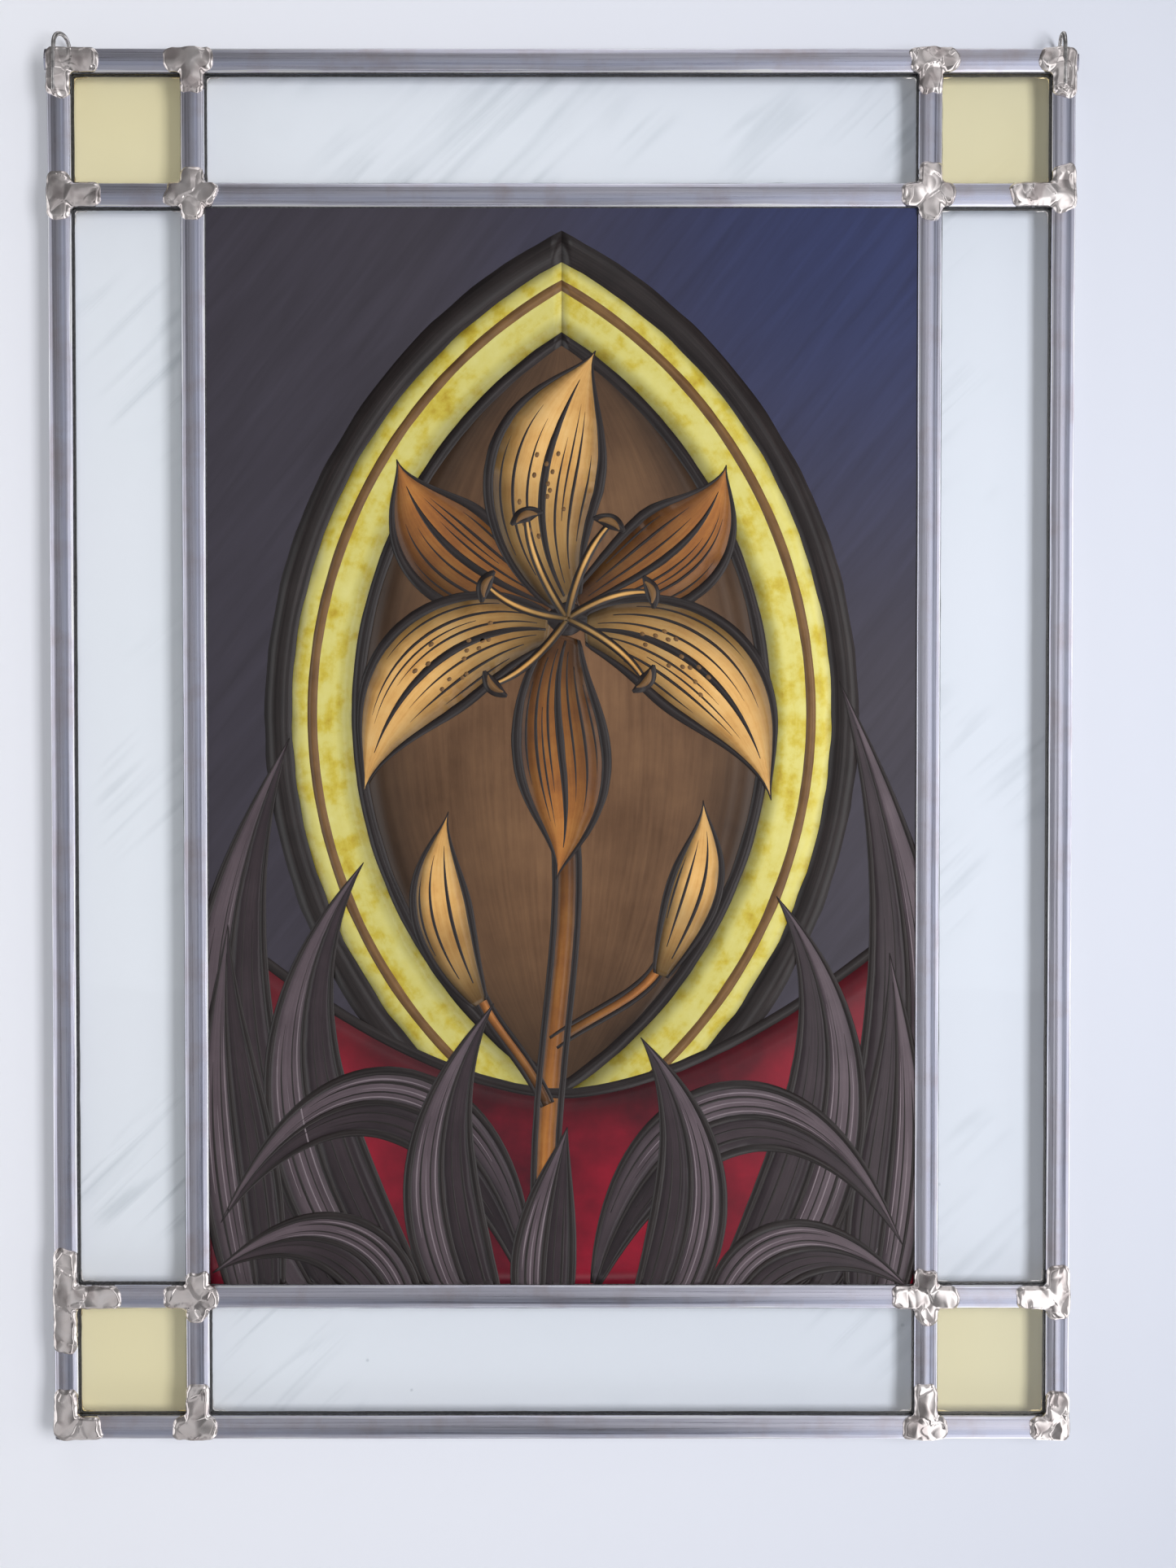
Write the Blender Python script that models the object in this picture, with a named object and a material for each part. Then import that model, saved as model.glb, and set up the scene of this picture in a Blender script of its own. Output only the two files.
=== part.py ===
# Leaded glass hanging panel: a painted pane in a border of clear strips and yellow corner
# squares, held in lead cames that are soldered at every joint, with two wire hanging loops.
# The origin lies midway between the two loops, on the level where they bear on their hooks,
# and in the middle of the glass. +X runs to the viewer's right, -Y faces the viewer, +Z is up.

import math

import bpy
import bmesh
from mathutils import Vector

MM = 0.001

# Sizes of the panel, in millimetres
PANEL_WIDTH = 360.0
PANEL_HEIGHT = 490.0
SIDE_BORDER = 50.8
TOP_BORDER = 50.8
BOTTOM_BORDER = 50.8
TOP_CAME_OVERHANG = 0.7
BUTT_GAP = 0.3

# Lead came: width of its face, its depth from front to back, the channel for the glass,
# the heart between two channels, the closed wall of an edge came, the lip of a flange, the
# rounding of two corners, and the flat and the shoulders of its low oval face
CAME_FACE = 8.2
CAME_DEPTH = 6.4
CHANNEL = 3.8
HEART = 1.6
EDGE_WALL = 2.0
LIP = 0.7
CORNER_RADIUS = 2.4
CUTTER_PAST = 1.0
FACE_FLAT = 2.0
FACE_SHOULDER = 5.2
SHOULDER_RISE_SHARE = 0.75

# Glass
GLASS_THICKNESS = 3.2
GLASS_EDGE_GAP = 0.5

# Solder joints: gap to the lead, height of the rim and of the crown, slope of the rim,
# how far the solder keeps back from the edge of the face, and the cut of its corners
SOLDER_GAP = 0.3
SOLDER_RIM = 0.45
SOLDER_CROWN = 0.95
SOLDER_SLOPE = 0.9
SOLDER_MARGIN = 0.25
SOLDER_CORNER = 1.4
BACK_RUN = 6.0

# A cut corner or a rim takes at most these shares of half the width of a patch
CORNER_SHARE = 0.6
SLOPE_SHARE = 0.45

# Hanging loops: wire, clear height over the top edge, and the gap to lead and solder. The
# wire leans back: its crest lies this share of the way to the back leg, and it drops into
# that leg over this height.
WIRE_DIAMETER = 1.4
WIRE_GAP = 0.3
LOOP_CLEAR = 6.0
CREST_SHARE = 0.68
BACK_BEND = 3.0
BEND_STEPS = 6

# Each loop: how far its front leg, its back leg and the foot of its back leg stand in from
# the panel's side edge, and how far the legs run down from the top edge
LOOPS = {
    "left": {"front": 3.2, "back": 5.1, "back_foot": 4.4, "front_drop": 15.4, "back_drop": 12.6},
    "right": {"front": 4.6, "back": 3.1, "back_foot": 4.4, "front_drop": 13.6, "back_drop": 12.6},
}

# How far the front solder runs along each came past the crossing: left, right, up, down
SOLDER_RUNS = {
    ("top", "left"): (0, 10.3, 0, 9.4),
    ("top", "mid_left"): (5.7, 3.6, 0, 7.8),
    ("top", "mid_right"): (3.6, 5.7, 0, 8.3),
    ("top", "right"): (4.8, 0, 0, 9.4),
    ("upper", "left"): (0, 10.8, 3.7, 5.1),
    ("upper", "mid_left"): (5.7, 4.8, 5.2, 5.1),
    ("upper", "mid_right"): (6.1, 4.7, 7.2, 5.1),
    ("upper", "right"): (14.8, 0, 6.2, 2.5),
    ("lower", "left"): (0, 15.8, 13.6, 15.7),
    ("lower", "mid_left"): (7.7, 3.8, 5.1, 4.7),
    ("lower", "mid_right"): (8.1, 7.7, 6.1, 5.7),
    ("lower", "right"): (10.8, 0, 7.6, 3.7),
    ("bottom", "left"): (0, 8.8, 9.8, 0),
    ("bottom", "mid_left"): (4.7, 3.1, 11.8, 0),
    ("bottom", "mid_right"): (4.1, 3.7, 11.8, 0),
    ("bottom", "right"): (5.8, 0, 9.3, 0),
}

# Places worked out from the sizes. Heights are measured from the loops' bearing level.
TOP_Z = -LOOP_CLEAR
BOTTOM_Z = TOP_Z - PANEL_HEIGHT
RIGHT_X = PANEL_WIDTH / 2
LEFT_X = -RIGHT_X
HALF_FACE = CAME_FACE / 2
HALF_DEPTH = CAME_DEPTH / 2

COLUMN_X = {
    "left": LEFT_X + HALF_FACE,
    "mid_left": LEFT_X + SIDE_BORDER,
    "mid_right": RIGHT_X - SIDE_BORDER,
    "right": RIGHT_X - HALF_FACE,
}
ROW_Z = {
    "top": TOP_Z - HALF_FACE,
    "upper": TOP_Z - TOP_BORDER,
    "lower": BOTTOM_Z + BOTTOM_BORDER,
    "bottom": BOTTOM_Z + HALF_FACE,
}


for old in list(bpy.data.objects):
    bpy.data.objects.remove(old, do_unlink=True)

parts = bpy.data.collections.new("leaded_glass_panel")
cutters = bpy.data.collections.new("cutters")
for made in (parts, cutters):
    bpy.context.scene.collection.children.link(made)


def material(name, color, roughness, metallic=0.0, transmission=0.0, alpha=1.0):
    """A Principled material with the piece's colour, gloss and metal."""
    made = bpy.data.materials.new(name)
    made.use_nodes = True
    shader = made.node_tree.nodes["Principled BSDF"]
    shader.inputs["Base Color"].default_value = (*color, 1.0)
    shader.inputs["Roughness"].default_value = roughness
    shader.inputs["Metallic"].default_value = metallic
    shader.inputs["Transmission Weight"].default_value = transmission
    shader.inputs["Alpha"].default_value = alpha
    return made


def outline_object(name, points, half_length, place, turn=(0, 0, 0)):
    """A flat outline in millimetres, made solid by half_length to each side of its plane."""
    curve = bpy.data.curves.new(name, "CURVE")
    curve.dimensions = "2D"
    curve.fill_mode = "BOTH"
    curve.extrude = half_length * MM
    spline = curve.splines.new("POLY")
    spline.points.add(len(points) - 1)
    for point, (across, up) in zip(spline.points, points):
        point.co = (across * MM, up * MM, 0, 1)
    spline.use_cyclic_u = True
    made = bpy.data.objects.new(name, curve)
    made.location = Vector(place) * MM
    made.rotation_euler = turn
    parts.objects.link(made)
    return made


def as_mesh(curve_object):
    """The same piece as a mesh with its caps welded, in the curve's place."""
    bpy.context.view_layer.update()
    evaluated = curve_object.evaluated_get(bpy.context.evaluated_depsgraph_get())
    mesh = bpy.data.meshes.new_from_object(evaluated)
    bm = bmesh.new()
    bm.from_mesh(mesh)
    bmesh.ops.remove_doubles(bm, verts=bm.verts, dist=0.001 * MM)
    bmesh.ops.recalc_face_normals(bm, faces=bm.faces)
    bm.to_mesh(mesh)
    bm.free()
    name = curve_object.name
    made = bpy.data.objects.new(name, mesh)
    made.matrix_world = curve_object.matrix_world
    bpy.data.objects.remove(curve_object, do_unlink=True)
    made.name = name
    parts.objects.link(made)
    return made


def cut(piece, cutter):
    """Cuts the shape of one object out of another and keeps the cutter as a guide."""
    for collection in list(cutter.users_collection):
        collection.objects.unlink(cutter)
    cutters.objects.link(cutter)
    cutter.hide_render = True
    cutter.display_type = "WIRE"
    boolean = piece.modifiers.new("cut_" + cutter.name, "BOOLEAN")
    boolean.operation = "DIFFERENCE"
    boolean.solver = "EXACT"
    boolean.object = cutter


# Lead cames

LEAD = (0.26, 0.26, 0.31)


def face_points(side):
    """The low oval face of a came, from its -X lip to its +X lip, at side -1 or 1 of its depth."""
    edge = CHANNEL / 2 + LIP
    shoulder = edge + SHOULDER_RISE_SHARE * (HALF_DEPTH - edge)
    half = [(FACE_FLAT / 2, HALF_DEPTH), (FACE_SHOULDER / 2, shoulder), (HALF_FACE, edge)]
    whole = [(-x, y) for x, y in reversed(half)] + half
    return [(x, side * y) for x, y in whole]


def h_section():
    """Both faces joined by a heart in the middle, with a channel on each side."""
    slot = CHANNEL / 2
    web = HEART / 2
    front = face_points(-1)
    back = list(reversed(face_points(1)))
    right = [(HALF_FACE, -slot), (web, -slot), (web, slot), (HALF_FACE, slot)]
    left = [(-x, -y) for x, y in right]
    return front + right + back + left


def edge_section():
    """Both faces joined by a closed wall on the -X side, with one channel on the +X side."""
    slot = CHANNEL / 2
    wall = EDGE_WALL - HALF_FACE
    front = face_points(-1)
    back = list(reversed(face_points(1)))
    return front + [(HALF_FACE, -slot), (wall, -slot), (wall, slot), (HALF_FACE, slot)] + back


def turned_over(section):
    """The same section with its -X side at +X."""
    return [(-x, y) for x, y in reversed(section)]


def upright_bar(name, section, x, low, high):
    """A came that runs up, from low to high."""
    return outline_object(name, section, (high - low) / 2, (x, 0, (low + high) / 2))


def level_bar(name, section, z, start, end):
    """A came that runs level, from start to end, with the section's -X side facing down."""
    place = ((start + end) / 2, 0, z)
    return outline_object(name, section, (end - start) / 2, place, (0, math.radians(-90), 0))


def corner_waste(name, x, z, radius):
    """The waste outside a rounded corner at the right: the corner, then an arc back to it."""
    above = 1 if z > (TOP_Z + BOTTOM_Z) / 2 else -1
    past = CUTTER_PAST
    arc = []
    for step in range(BEND_STEPS + 1):
        angle = math.radians(90 * step / BEND_STEPS)
        arc.append((x - radius * (1 - math.cos(angle)), z - above * radius * (1 - math.sin(angle))))
    outside = [(x - radius, z + above * past), (x + past, z + above * past), (x + past, arc[0][1])]
    made = outline_object(name, outside + arc, CAME_DEPTH, (0, 0, 0), (math.radians(90), 0, 0))
    return as_mesh(made)


side_low = BOTTOM_Z + CAME_FACE + BUTT_GAP
side_high = TOP_Z - CAME_FACE - BUTT_GAP
left_inner = LEFT_X + CAME_FACE + BUTT_GAP
right_inner = RIGHT_X - CAME_FACE - BUTT_GAP

# The top came runs over both side cames. The left came runs down to the bottom edge, where
# the bottom came butts against it, and the right came stands on the bottom came.
top = as_mesh(level_bar(
    "top_came", turned_over(edge_section()), ROW_Z["top"],
    LEFT_X - TOP_CAME_OVERHANG, RIGHT_X + TOP_CAME_OVERHANG,
))
bottom = as_mesh(level_bar("bottom_came", edge_section(), ROW_Z["bottom"], left_inner, RIGHT_X))
upright_bar("left_came", edge_section(), COLUMN_X["left"], BOTTOM_Z, side_high)
upright_bar("right_came", turned_over(edge_section()), COLUMN_X["right"], side_low, side_high)
cut(top, corner_waste("top_corner_waste", RIGHT_X + TOP_CAME_OVERHANG, TOP_Z, CORNER_RADIUS))
cut(bottom, corner_waste("bottom_corner_waste", RIGHT_X, BOTTOM_Z, CORNER_RADIUS))

# Two uprights run from the top came to the bottom came, and short bars butt against them
for column in ("mid_left", "mid_right"):
    upright_bar(column + "_upright", h_section(), COLUMN_X[column], side_low, side_high)

bar_spans = {
    "left": (left_inner, COLUMN_X["mid_left"] - HALF_FACE - BUTT_GAP),
    "middle": (
        COLUMN_X["mid_left"] + HALF_FACE + BUTT_GAP,
        COLUMN_X["mid_right"] - HALF_FACE - BUTT_GAP,
    ),
    "right": (COLUMN_X["mid_right"] + HALF_FACE + BUTT_GAP, right_inner),
}
for row in ("upper", "lower"):
    for span, (start, end) in bar_spans.items():
        level_bar(f"{row}_bar_{span}", h_section(), ROW_Z[row], start, end)


# Panes of glass, each held in the channels around it

edge_seat = EDGE_WALL + GLASS_EDGE_GAP
heart_seat = HEART / 2 + GLASS_EDGE_GAP
PANE_X = {
    "left": (LEFT_X + edge_seat, COLUMN_X["mid_left"] - heart_seat),
    "middle": (COLUMN_X["mid_left"] + heart_seat, COLUMN_X["mid_right"] - heart_seat),
    "right": (COLUMN_X["mid_right"] + heart_seat, RIGHT_X - edge_seat),
}
PANE_Z = {
    "top": (ROW_Z["upper"] + heart_seat, TOP_Z - edge_seat),
    "middle": (ROW_Z["lower"] + heart_seat, ROW_Z["upper"] - heart_seat),
    "bottom": (BOTTOM_Z + edge_seat, ROW_Z["lower"] - heart_seat),
}
GLASSES = {
    "yellow_pane": ((0.72, 0.66, 0.38), 0.03, 0.45),
    "clear_pane": ((0.83, 0.87, 0.90), 0.04, 0.2),
    "painted_pane": ((0.13, 0.10, 0.13), 0.12, 1.0),
}


def pane(name, kind, across, up):
    """A flat rectangular pane, as a box."""
    bpy.ops.mesh.primitive_cube_add(size=1)
    made = bpy.context.active_object
    made.name = name
    for collection in list(made.users_collection):
        collection.objects.unlink(made)
    parts.objects.link(made)
    size = ((across[1] - across[0]) * MM, GLASS_THICKNESS * MM, (up[1] - up[0]) * MM)
    for vertex in made.data.vertices:
        vertex.co = Vector(c * s for c, s in zip(vertex.co, size))
    made.location = ((across[0] + across[1]) / 2 * MM, 0, (up[0] + up[1]) / 2 * MM)
    color, roughness, alpha = GLASSES[kind]
    made.data.materials.append(material(name, color, roughness, transmission=1 - alpha, alpha=alpha))
    return made


for vertical, up in PANE_Z.items():
    for sideways, across in PANE_X.items():
        if vertical == sideways == "middle":
            pane("painted_pane", "painted_pane", across, up)
        elif "middle" in (vertical, sideways):
            place = vertical if sideways == "middle" else sideways
            pane("clear_pane_" + place, "clear_pane", across, up)
        else:
            pane(f"yellow_pane_{vertical}_{sideways}", "yellow_pane", across, up)


# Wire loops, bent over the top edge and soldered to both faces

LEG_Y = HALF_DEPTH + WIRE_GAP + WIRE_DIAMETER / 2


def loop_route(side):
    """The wire's centre line, in millimetres: up the front, over the top edge, down the back."""
    sizes = LOOPS[side]
    outward = -1 if side == "left" else 1
    front = Vector((outward * (RIGHT_X - sizes["front"]), -LEG_Y))
    back = Vector((outward * (RIGHT_X - sizes["back"]), LEG_Y))
    crest = TOP_Z + LOOP_CLEAR + WIRE_DIAMETER / 2
    front_bend = crest - TOP_Z
    back_bend = min(BACK_BEND, front_bend)
    route = [(*front, TOP_Z - sizes["front_drop"])]
    for step in range(BEND_STEPS + 1):
        angle = math.radians(90 * step / BEND_STEPS)
        flat = front.lerp(back, CREST_SHARE * (1 - math.cos(angle)))
        route.append((*flat, TOP_Z + front_bend * math.sin(angle)))
    for step in range(1, BEND_STEPS + 1):
        angle = math.radians(90 * (1 - step / BEND_STEPS))
        flat = back.lerp(front, (1 - CREST_SHARE) * (1 - math.cos(angle)))
        route.append((*flat, crest - back_bend * (1 - math.sin(angle))))
    route.append((outward * (RIGHT_X - sizes["back_foot"]), LEG_Y, TOP_Z - sizes["back_drop"]))
    return route


def wire(name, route, diameter):
    """A round wire along a route, with closed ends."""
    curve = bpy.data.curves.new(name, "CURVE")
    curve.dimensions = "3D"
    curve.bevel_depth = diameter / 2 * MM
    curve.bevel_resolution = 2
    curve.use_fill_caps = True
    spline = curve.splines.new("POLY")
    spline.points.add(len(route) - 1)
    for point, place in zip(spline.points, route):
        point.co = (*(Vector(place) * MM), 1)
    spline.use_smooth = True
    made = bpy.data.objects.new(name, curve)
    parts.objects.link(made)
    return made


for side in LOOPS:
    loop = wire(f"hanging_loop_{side}", loop_route(side), WIRE_DIAMETER)
    loop.data.materials.append(material(loop.name, (0.50, 0.50, 0.50), 0.28, metallic=1.0))


# Solder joints: one low patch on each face of every joint

SOLDER = (0.66, 0.63, 0.62)
UPWARD = 0.9


def joint_outline(runs):
    """A patch over a crossing, with an arm along each came that the solder ran out on."""
    half = HALF_FACE - SOLDER_MARGIN
    corner = min(SOLDER_CORNER, half * CORNER_SHARE)
    ways = [((1, 0), runs[1]), ((0, 1), runs[2]), ((-1, 0), runs[0]), ((0, -1), runs[3])]
    points = []
    for index, (way, run) in enumerate(ways):
        out = Vector(way)
        left = Vector((-out.y, out.x))
        next_run = ways[(index + 1) % 4][1]
        if run:
            tip = HALF_FACE + run
            points.append(out * (tip - corner) - left * half)
            points.append(out * tip - left * (half - corner))
            points.append(out * tip + left * (half - corner))
            points.append(out * (tip - corner) + left * half)
        if run and next_run:
            points.append((out + left) * half)
        elif not run and not next_run:
            points.append(out * half + left * (half - corner))
            points.append(out * (half - corner) + left * half)
    return points


def solder_patch(name, column, row, runs, face):
    """A patch with a sloped rim and a crown, over the front (-1) or the back (1) of a joint."""
    base = HALF_DEPTH + SOLDER_GAP
    turn = (math.radians(-90 * face), 0, 0)
    points = joint_outline(runs)
    if face > 0:
        points = [(x, -z) for x, z in reversed(points)]
    middle = face * (base + SOLDER_RIM / 2)
    place = (COLUMN_X[column], middle, ROW_Z[row])
    patch = as_mesh(outline_object(name, points, SOLDER_RIM / 2, place, turn))
    bm = bmesh.new()
    bm.from_mesh(patch.data)
    bm.normal_update()
    top = [f for f in bm.faces if f.normal.z > UPWARD]
    bmesh.ops.dissolve_faces(bm, faces=top)
    top = [f for f in bm.faces if f.normal.z > UPWARD]
    crown = (SOLDER_CROWN - SOLDER_RIM) * MM
    slope = min(SOLDER_SLOPE, (HALF_FACE - SOLDER_MARGIN) * SLOPE_SHARE) * MM
    bmesh.ops.inset_region(bm, faces=top, thickness=slope, depth=crown, use_even_offset=True)
    bm.to_mesh(patch.data)
    bm.free()
    patch.data.materials.append(material(name, SOLDER, 0.22, metallic=1.0))
    return patch


loop_cutters = {}
for side in LOOPS:
    clearance = wire(f"loop_clearance_{side}", loop_route(side), WIRE_DIAMETER + 2 * WIRE_GAP)
    loop_cutters[side] = as_mesh(clearance)

for (row, column), runs in SOLDER_RUNS.items():
    back_runs = [BACK_RUN if run else 0 for run in runs]
    for face, face_runs, face_name in ((-1, runs, "front"), (1, back_runs, "back")):
        patch = solder_patch(f"solder_{face_name}_{row}_{column}", column, row, face_runs, face)
        if row == "top" and column in LOOPS:
            cut(patch, loop_cutters[column])

for piece in parts.objects:
    if not piece.data.materials:
        piece.data.materials.append(material(piece.name, LEAD, 0.42, metallic=0.85))
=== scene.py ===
import math

import bpy
import bmesh
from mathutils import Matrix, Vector, noise


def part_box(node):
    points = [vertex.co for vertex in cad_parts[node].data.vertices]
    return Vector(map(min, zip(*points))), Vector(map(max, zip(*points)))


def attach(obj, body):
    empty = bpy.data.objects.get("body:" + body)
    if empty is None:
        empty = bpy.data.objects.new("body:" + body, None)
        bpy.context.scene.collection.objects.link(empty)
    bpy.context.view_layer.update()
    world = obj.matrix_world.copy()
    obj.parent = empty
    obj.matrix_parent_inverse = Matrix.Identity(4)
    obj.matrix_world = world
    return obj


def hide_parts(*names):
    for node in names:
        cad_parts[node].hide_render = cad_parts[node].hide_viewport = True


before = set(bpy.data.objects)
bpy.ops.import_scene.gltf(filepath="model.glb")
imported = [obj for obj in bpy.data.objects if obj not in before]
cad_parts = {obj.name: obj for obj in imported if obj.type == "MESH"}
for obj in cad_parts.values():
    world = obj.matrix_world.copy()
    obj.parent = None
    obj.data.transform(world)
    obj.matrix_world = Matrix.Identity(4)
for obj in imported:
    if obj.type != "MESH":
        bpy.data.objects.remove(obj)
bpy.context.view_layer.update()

# Leaded hanging panel, seen from -Y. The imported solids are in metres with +Z up, and every
# size below is in millimetres, brought to metres by MM where a mesh is placed.
MM = 0.001


# Lead cames
# Strips of soft lead with an H section, milled between rollers and stretched straight. The
# rollers leave fine lines along the low oval faces, and the lead dulls to a bluish grey.
# The edge cames have one closed wall. Short pieces butt against the long ones.
# Bands of painted sheen run along each face: painted highlights by the lips, painted bluish reflection
# between.

LEAD_BLUE_GREY = "#cbcddc"
LEAD_DARK = "#a3a5b3"
LEAD_BRIGHT = "#dadce8"
LEAD_BROWN = "#b6aaac"
FACE_HALF = 4.1
FACE_RISE = 0.6
CROWN_POWER = 2.3
HEART_HALF = 0.8
EDGE_WALL = 2.0
EDGE_WALL_FLAT = 1.2
SLOT_HALF = 1.9
SLOT_FLARE = 0.1
LIP_EDGE = 2.6
LIP_ROUND = 0.3
LIP_WORN = 0.22
WORN_FROM = 0.91
FACE_STEPS = 44
# Each line of the rollers: its place as a share of half the face, and its depth.
ROLLER_LINES = ((-0.76, 0.05), (-0.3, 0.02), (0.42, 0.05), (0.8, 0.05))
ROLLER_LINE_WIDTH = 0.1
# Each band of painted sheen (painted highlights by the lips, painted bluish reflection between): its place
# across the face, and its gain in red, green and blue.
PAINTED_SHEEN_BANDS = (
    (0.0, 1.5, 1.48, 1.45), (0.06, 1.5, 1.48, 1.45), (0.09, 0.95, 0.93, 0.93), (0.4, 1.08, 1.05, 1.04),
    (0.6, 0.9, 0.91, 0.95), (0.72, 0.82, 0.84, 0.91), (0.84, 1.0, 0.99, 1.0), (0.91, 0.96, 0.95, 0.96),
    (0.94, 1.6, 1.58, 1.55), (1.0, 1.6, 1.58, 1.55),
)
SHEEN_BAND_EDGES = (-3.3, 4.9)
SHEEN_BAND_WANDER = 1.6
# Pattern cells to a millimetre, across and along: streaks 0.8 by 80 mm, drifts 20 by 50 mm.
STREAK_SCALE = (1.3, 0.012, 1.0)
DRIFT_SCALE = (0.05, 0.02, 1.0)
STREAK_DEPTH = 0.06
HANDLING_MARK = 14.0
STATION = 3.0
HAND_WAVER = 0.1
WAVER_LENGTH = 45.0
SWELL = 0.012
SWELL_LENGTH = 22.0
DEPTH_SWELL_LENGTH = 30.0
WELD = 0.002
CORNER_ROUND = 2.4
ROUNDED_ENDS = {"top_came": 1, "bottom_came": -1}


def linear(hex_colour):
    """An sRGB hex colour as linear red, green, blue and a full alpha."""
    parts = [int(hex_colour[i:i + 2], 16) / 255 for i in (1, 3, 5)]
    return (*[c / 12.92 if c <= 0.04045 else ((c + 0.055) / 1.055) ** 2.4 for c in parts], 1.0)


def set_inputs(made, inputs):
    """Sets or links the inputs of a node, by name or number."""
    for name, value in inputs.items():
        if isinstance(value, bpy.types.NodeSocket):
            made.id_data.links.new(value, made.inputs[name])
        else:
            made.inputs[name].default_value = value


def add_node(tree, kind, inputs=None, **settings):
    """Adds a node, sets its options, and sets or links its inputs."""
    made = tree.nodes.new(kind)
    for name, value in settings.items():
        setattr(made, name, value)
    set_inputs(made, inputs or {})
    return made


def set_ramp(ramp_node, stops, interpolation="LINEAR"):
    """Gives a colour ramp its stops, each a place and a linear colour."""
    ramp = ramp_node.color_ramp
    ramp.interpolation = interpolation
    while len(ramp.elements) > 1:
        ramp.elements.remove(ramp.elements[-1])
    for index, (place, colour) in enumerate(stops):
        element = ramp.elements[0] if index == 0 else ramp.elements.new(place)
        element.position = place
        element.color = colour
    return ramp_node.outputs["Color"]


def new_material(name):
    """An empty Principled material: the material, its tree and its shader."""
    made = bpy.data.materials.new(name)
    made.use_nodes = True
    return made, made.node_tree, made.node_tree.nodes["Principled BSDF"]


def add_sheet(bm, columns, rows, place, uv_size=(1.0, 1.0)):
    """Adds a grid of faces bent into shape by place(s, t), which gives millimetres."""
    verts = bmesh.ops.create_grid(bm, x_segments=columns, y_segments=rows, size=0.5)["verts"]
    uv = bm.loops.layers.uv.verify()
    shape = bm.loops.layers.uv.get("shape")
    spots = {v: (v.co.x + 0.5, v.co.y + 0.5) for v in verts}
    faces = {f for v in verts for f in v.link_faces}
    for face in faces:
        for loop in face.loops:
            s, t = spots[loop.vert]
            loop[uv].uv = (s * uv_size[0], t * uv_size[1])
            if shape:
                loop[shape].uv = (s, t)
    for vertex, (s, t) in spots.items():
        vertex.co = Vector(place(s, t)) * MM
    return list(faces)


def to_object(name, bm, material):
    """Brings a mesh into the scene, in one material."""
    mesh = bpy.data.meshes.new(name)
    bm.to_mesh(mesh)
    bm.free()
    mesh.materials.append(material)
    made = bpy.data.objects.new(name, mesh)
    bpy.context.scene.collection.objects.link(made)
    return made


def finish_piece(name, bm, material, replaced=None):
    """Closes the work on a mesh: normals out, smooth, in the scene, riding on the panel."""
    bmesh.ops.recalc_face_normals(bm, faces=bm.faces)
    for face in bm.faces:
        face.smooth = True
    piece = to_object(name, bm, material)
    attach(piece, "root")
    if replaced:
        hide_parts(replaced)
    return piece


def box_mm(node):
    """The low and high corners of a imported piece, in millimetres."""
    return [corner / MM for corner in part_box(node)]


def smooth_noise(x, y, z):
    """A smooth unevenness from about -1 to 1. Unlike places give pieces unevenness of their own."""
    return noise.noise(Vector((x, y, z)))


def bell(distance, width):
    """A smooth bump: 1 at no distance, and gone past about twice its width."""
    return math.exp(-(distance / width) ** 2)


def crown(share):
    """The oval of a came's face: 1 in the middle and 0 at a lip, at a share of half its width."""
    return 1 - abs(share) ** CROWN_POWER


def came_section(closed):
    """The section as (across, depth) points in millimetres, once round from the -across lip."""
    face = []
    for step in range(FACE_STEPS + 1):
        share = -1 + 2 * step / FACE_STEPS
        line = sum(depth * bell(share - at, ROLLER_LINE_WIDTH) for at, depth in ROLLER_LINES)
        worn = LIP_WORN * max(0.0, abs(share) - WORN_FROM) / (1 - WORN_FROM)
        rise = (FACE_RISE + LIP_ROUND) * crown(share)
        face.append((share * FACE_HALF, LIP_EDGE - LIP_ROUND + rise - line - worn))
    wall = EDGE_WALL - FACE_HALF if closed else HEART_HALF
    slot = [(FACE_HALF, SLOT_HALF + SLOT_FLARE), (FACE_HALF - LIP_ROUND, SLOT_HALF), (wall, SLOT_HALF)]
    front = [(a, -d) for a, d in face + slot]
    back = list(reversed(face + slot))
    if closed:
        left = [(-FACE_HALF, d) for d in (EDGE_WALL_FLAT, 0.0, -EDGE_WALL_FLAT)]
    else:
        left = [(-a, d) for a, d in slot] + [(-a, -d) for a, d in reversed(slot)]
    points = front + back + left
    return points + points[:1]


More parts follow.
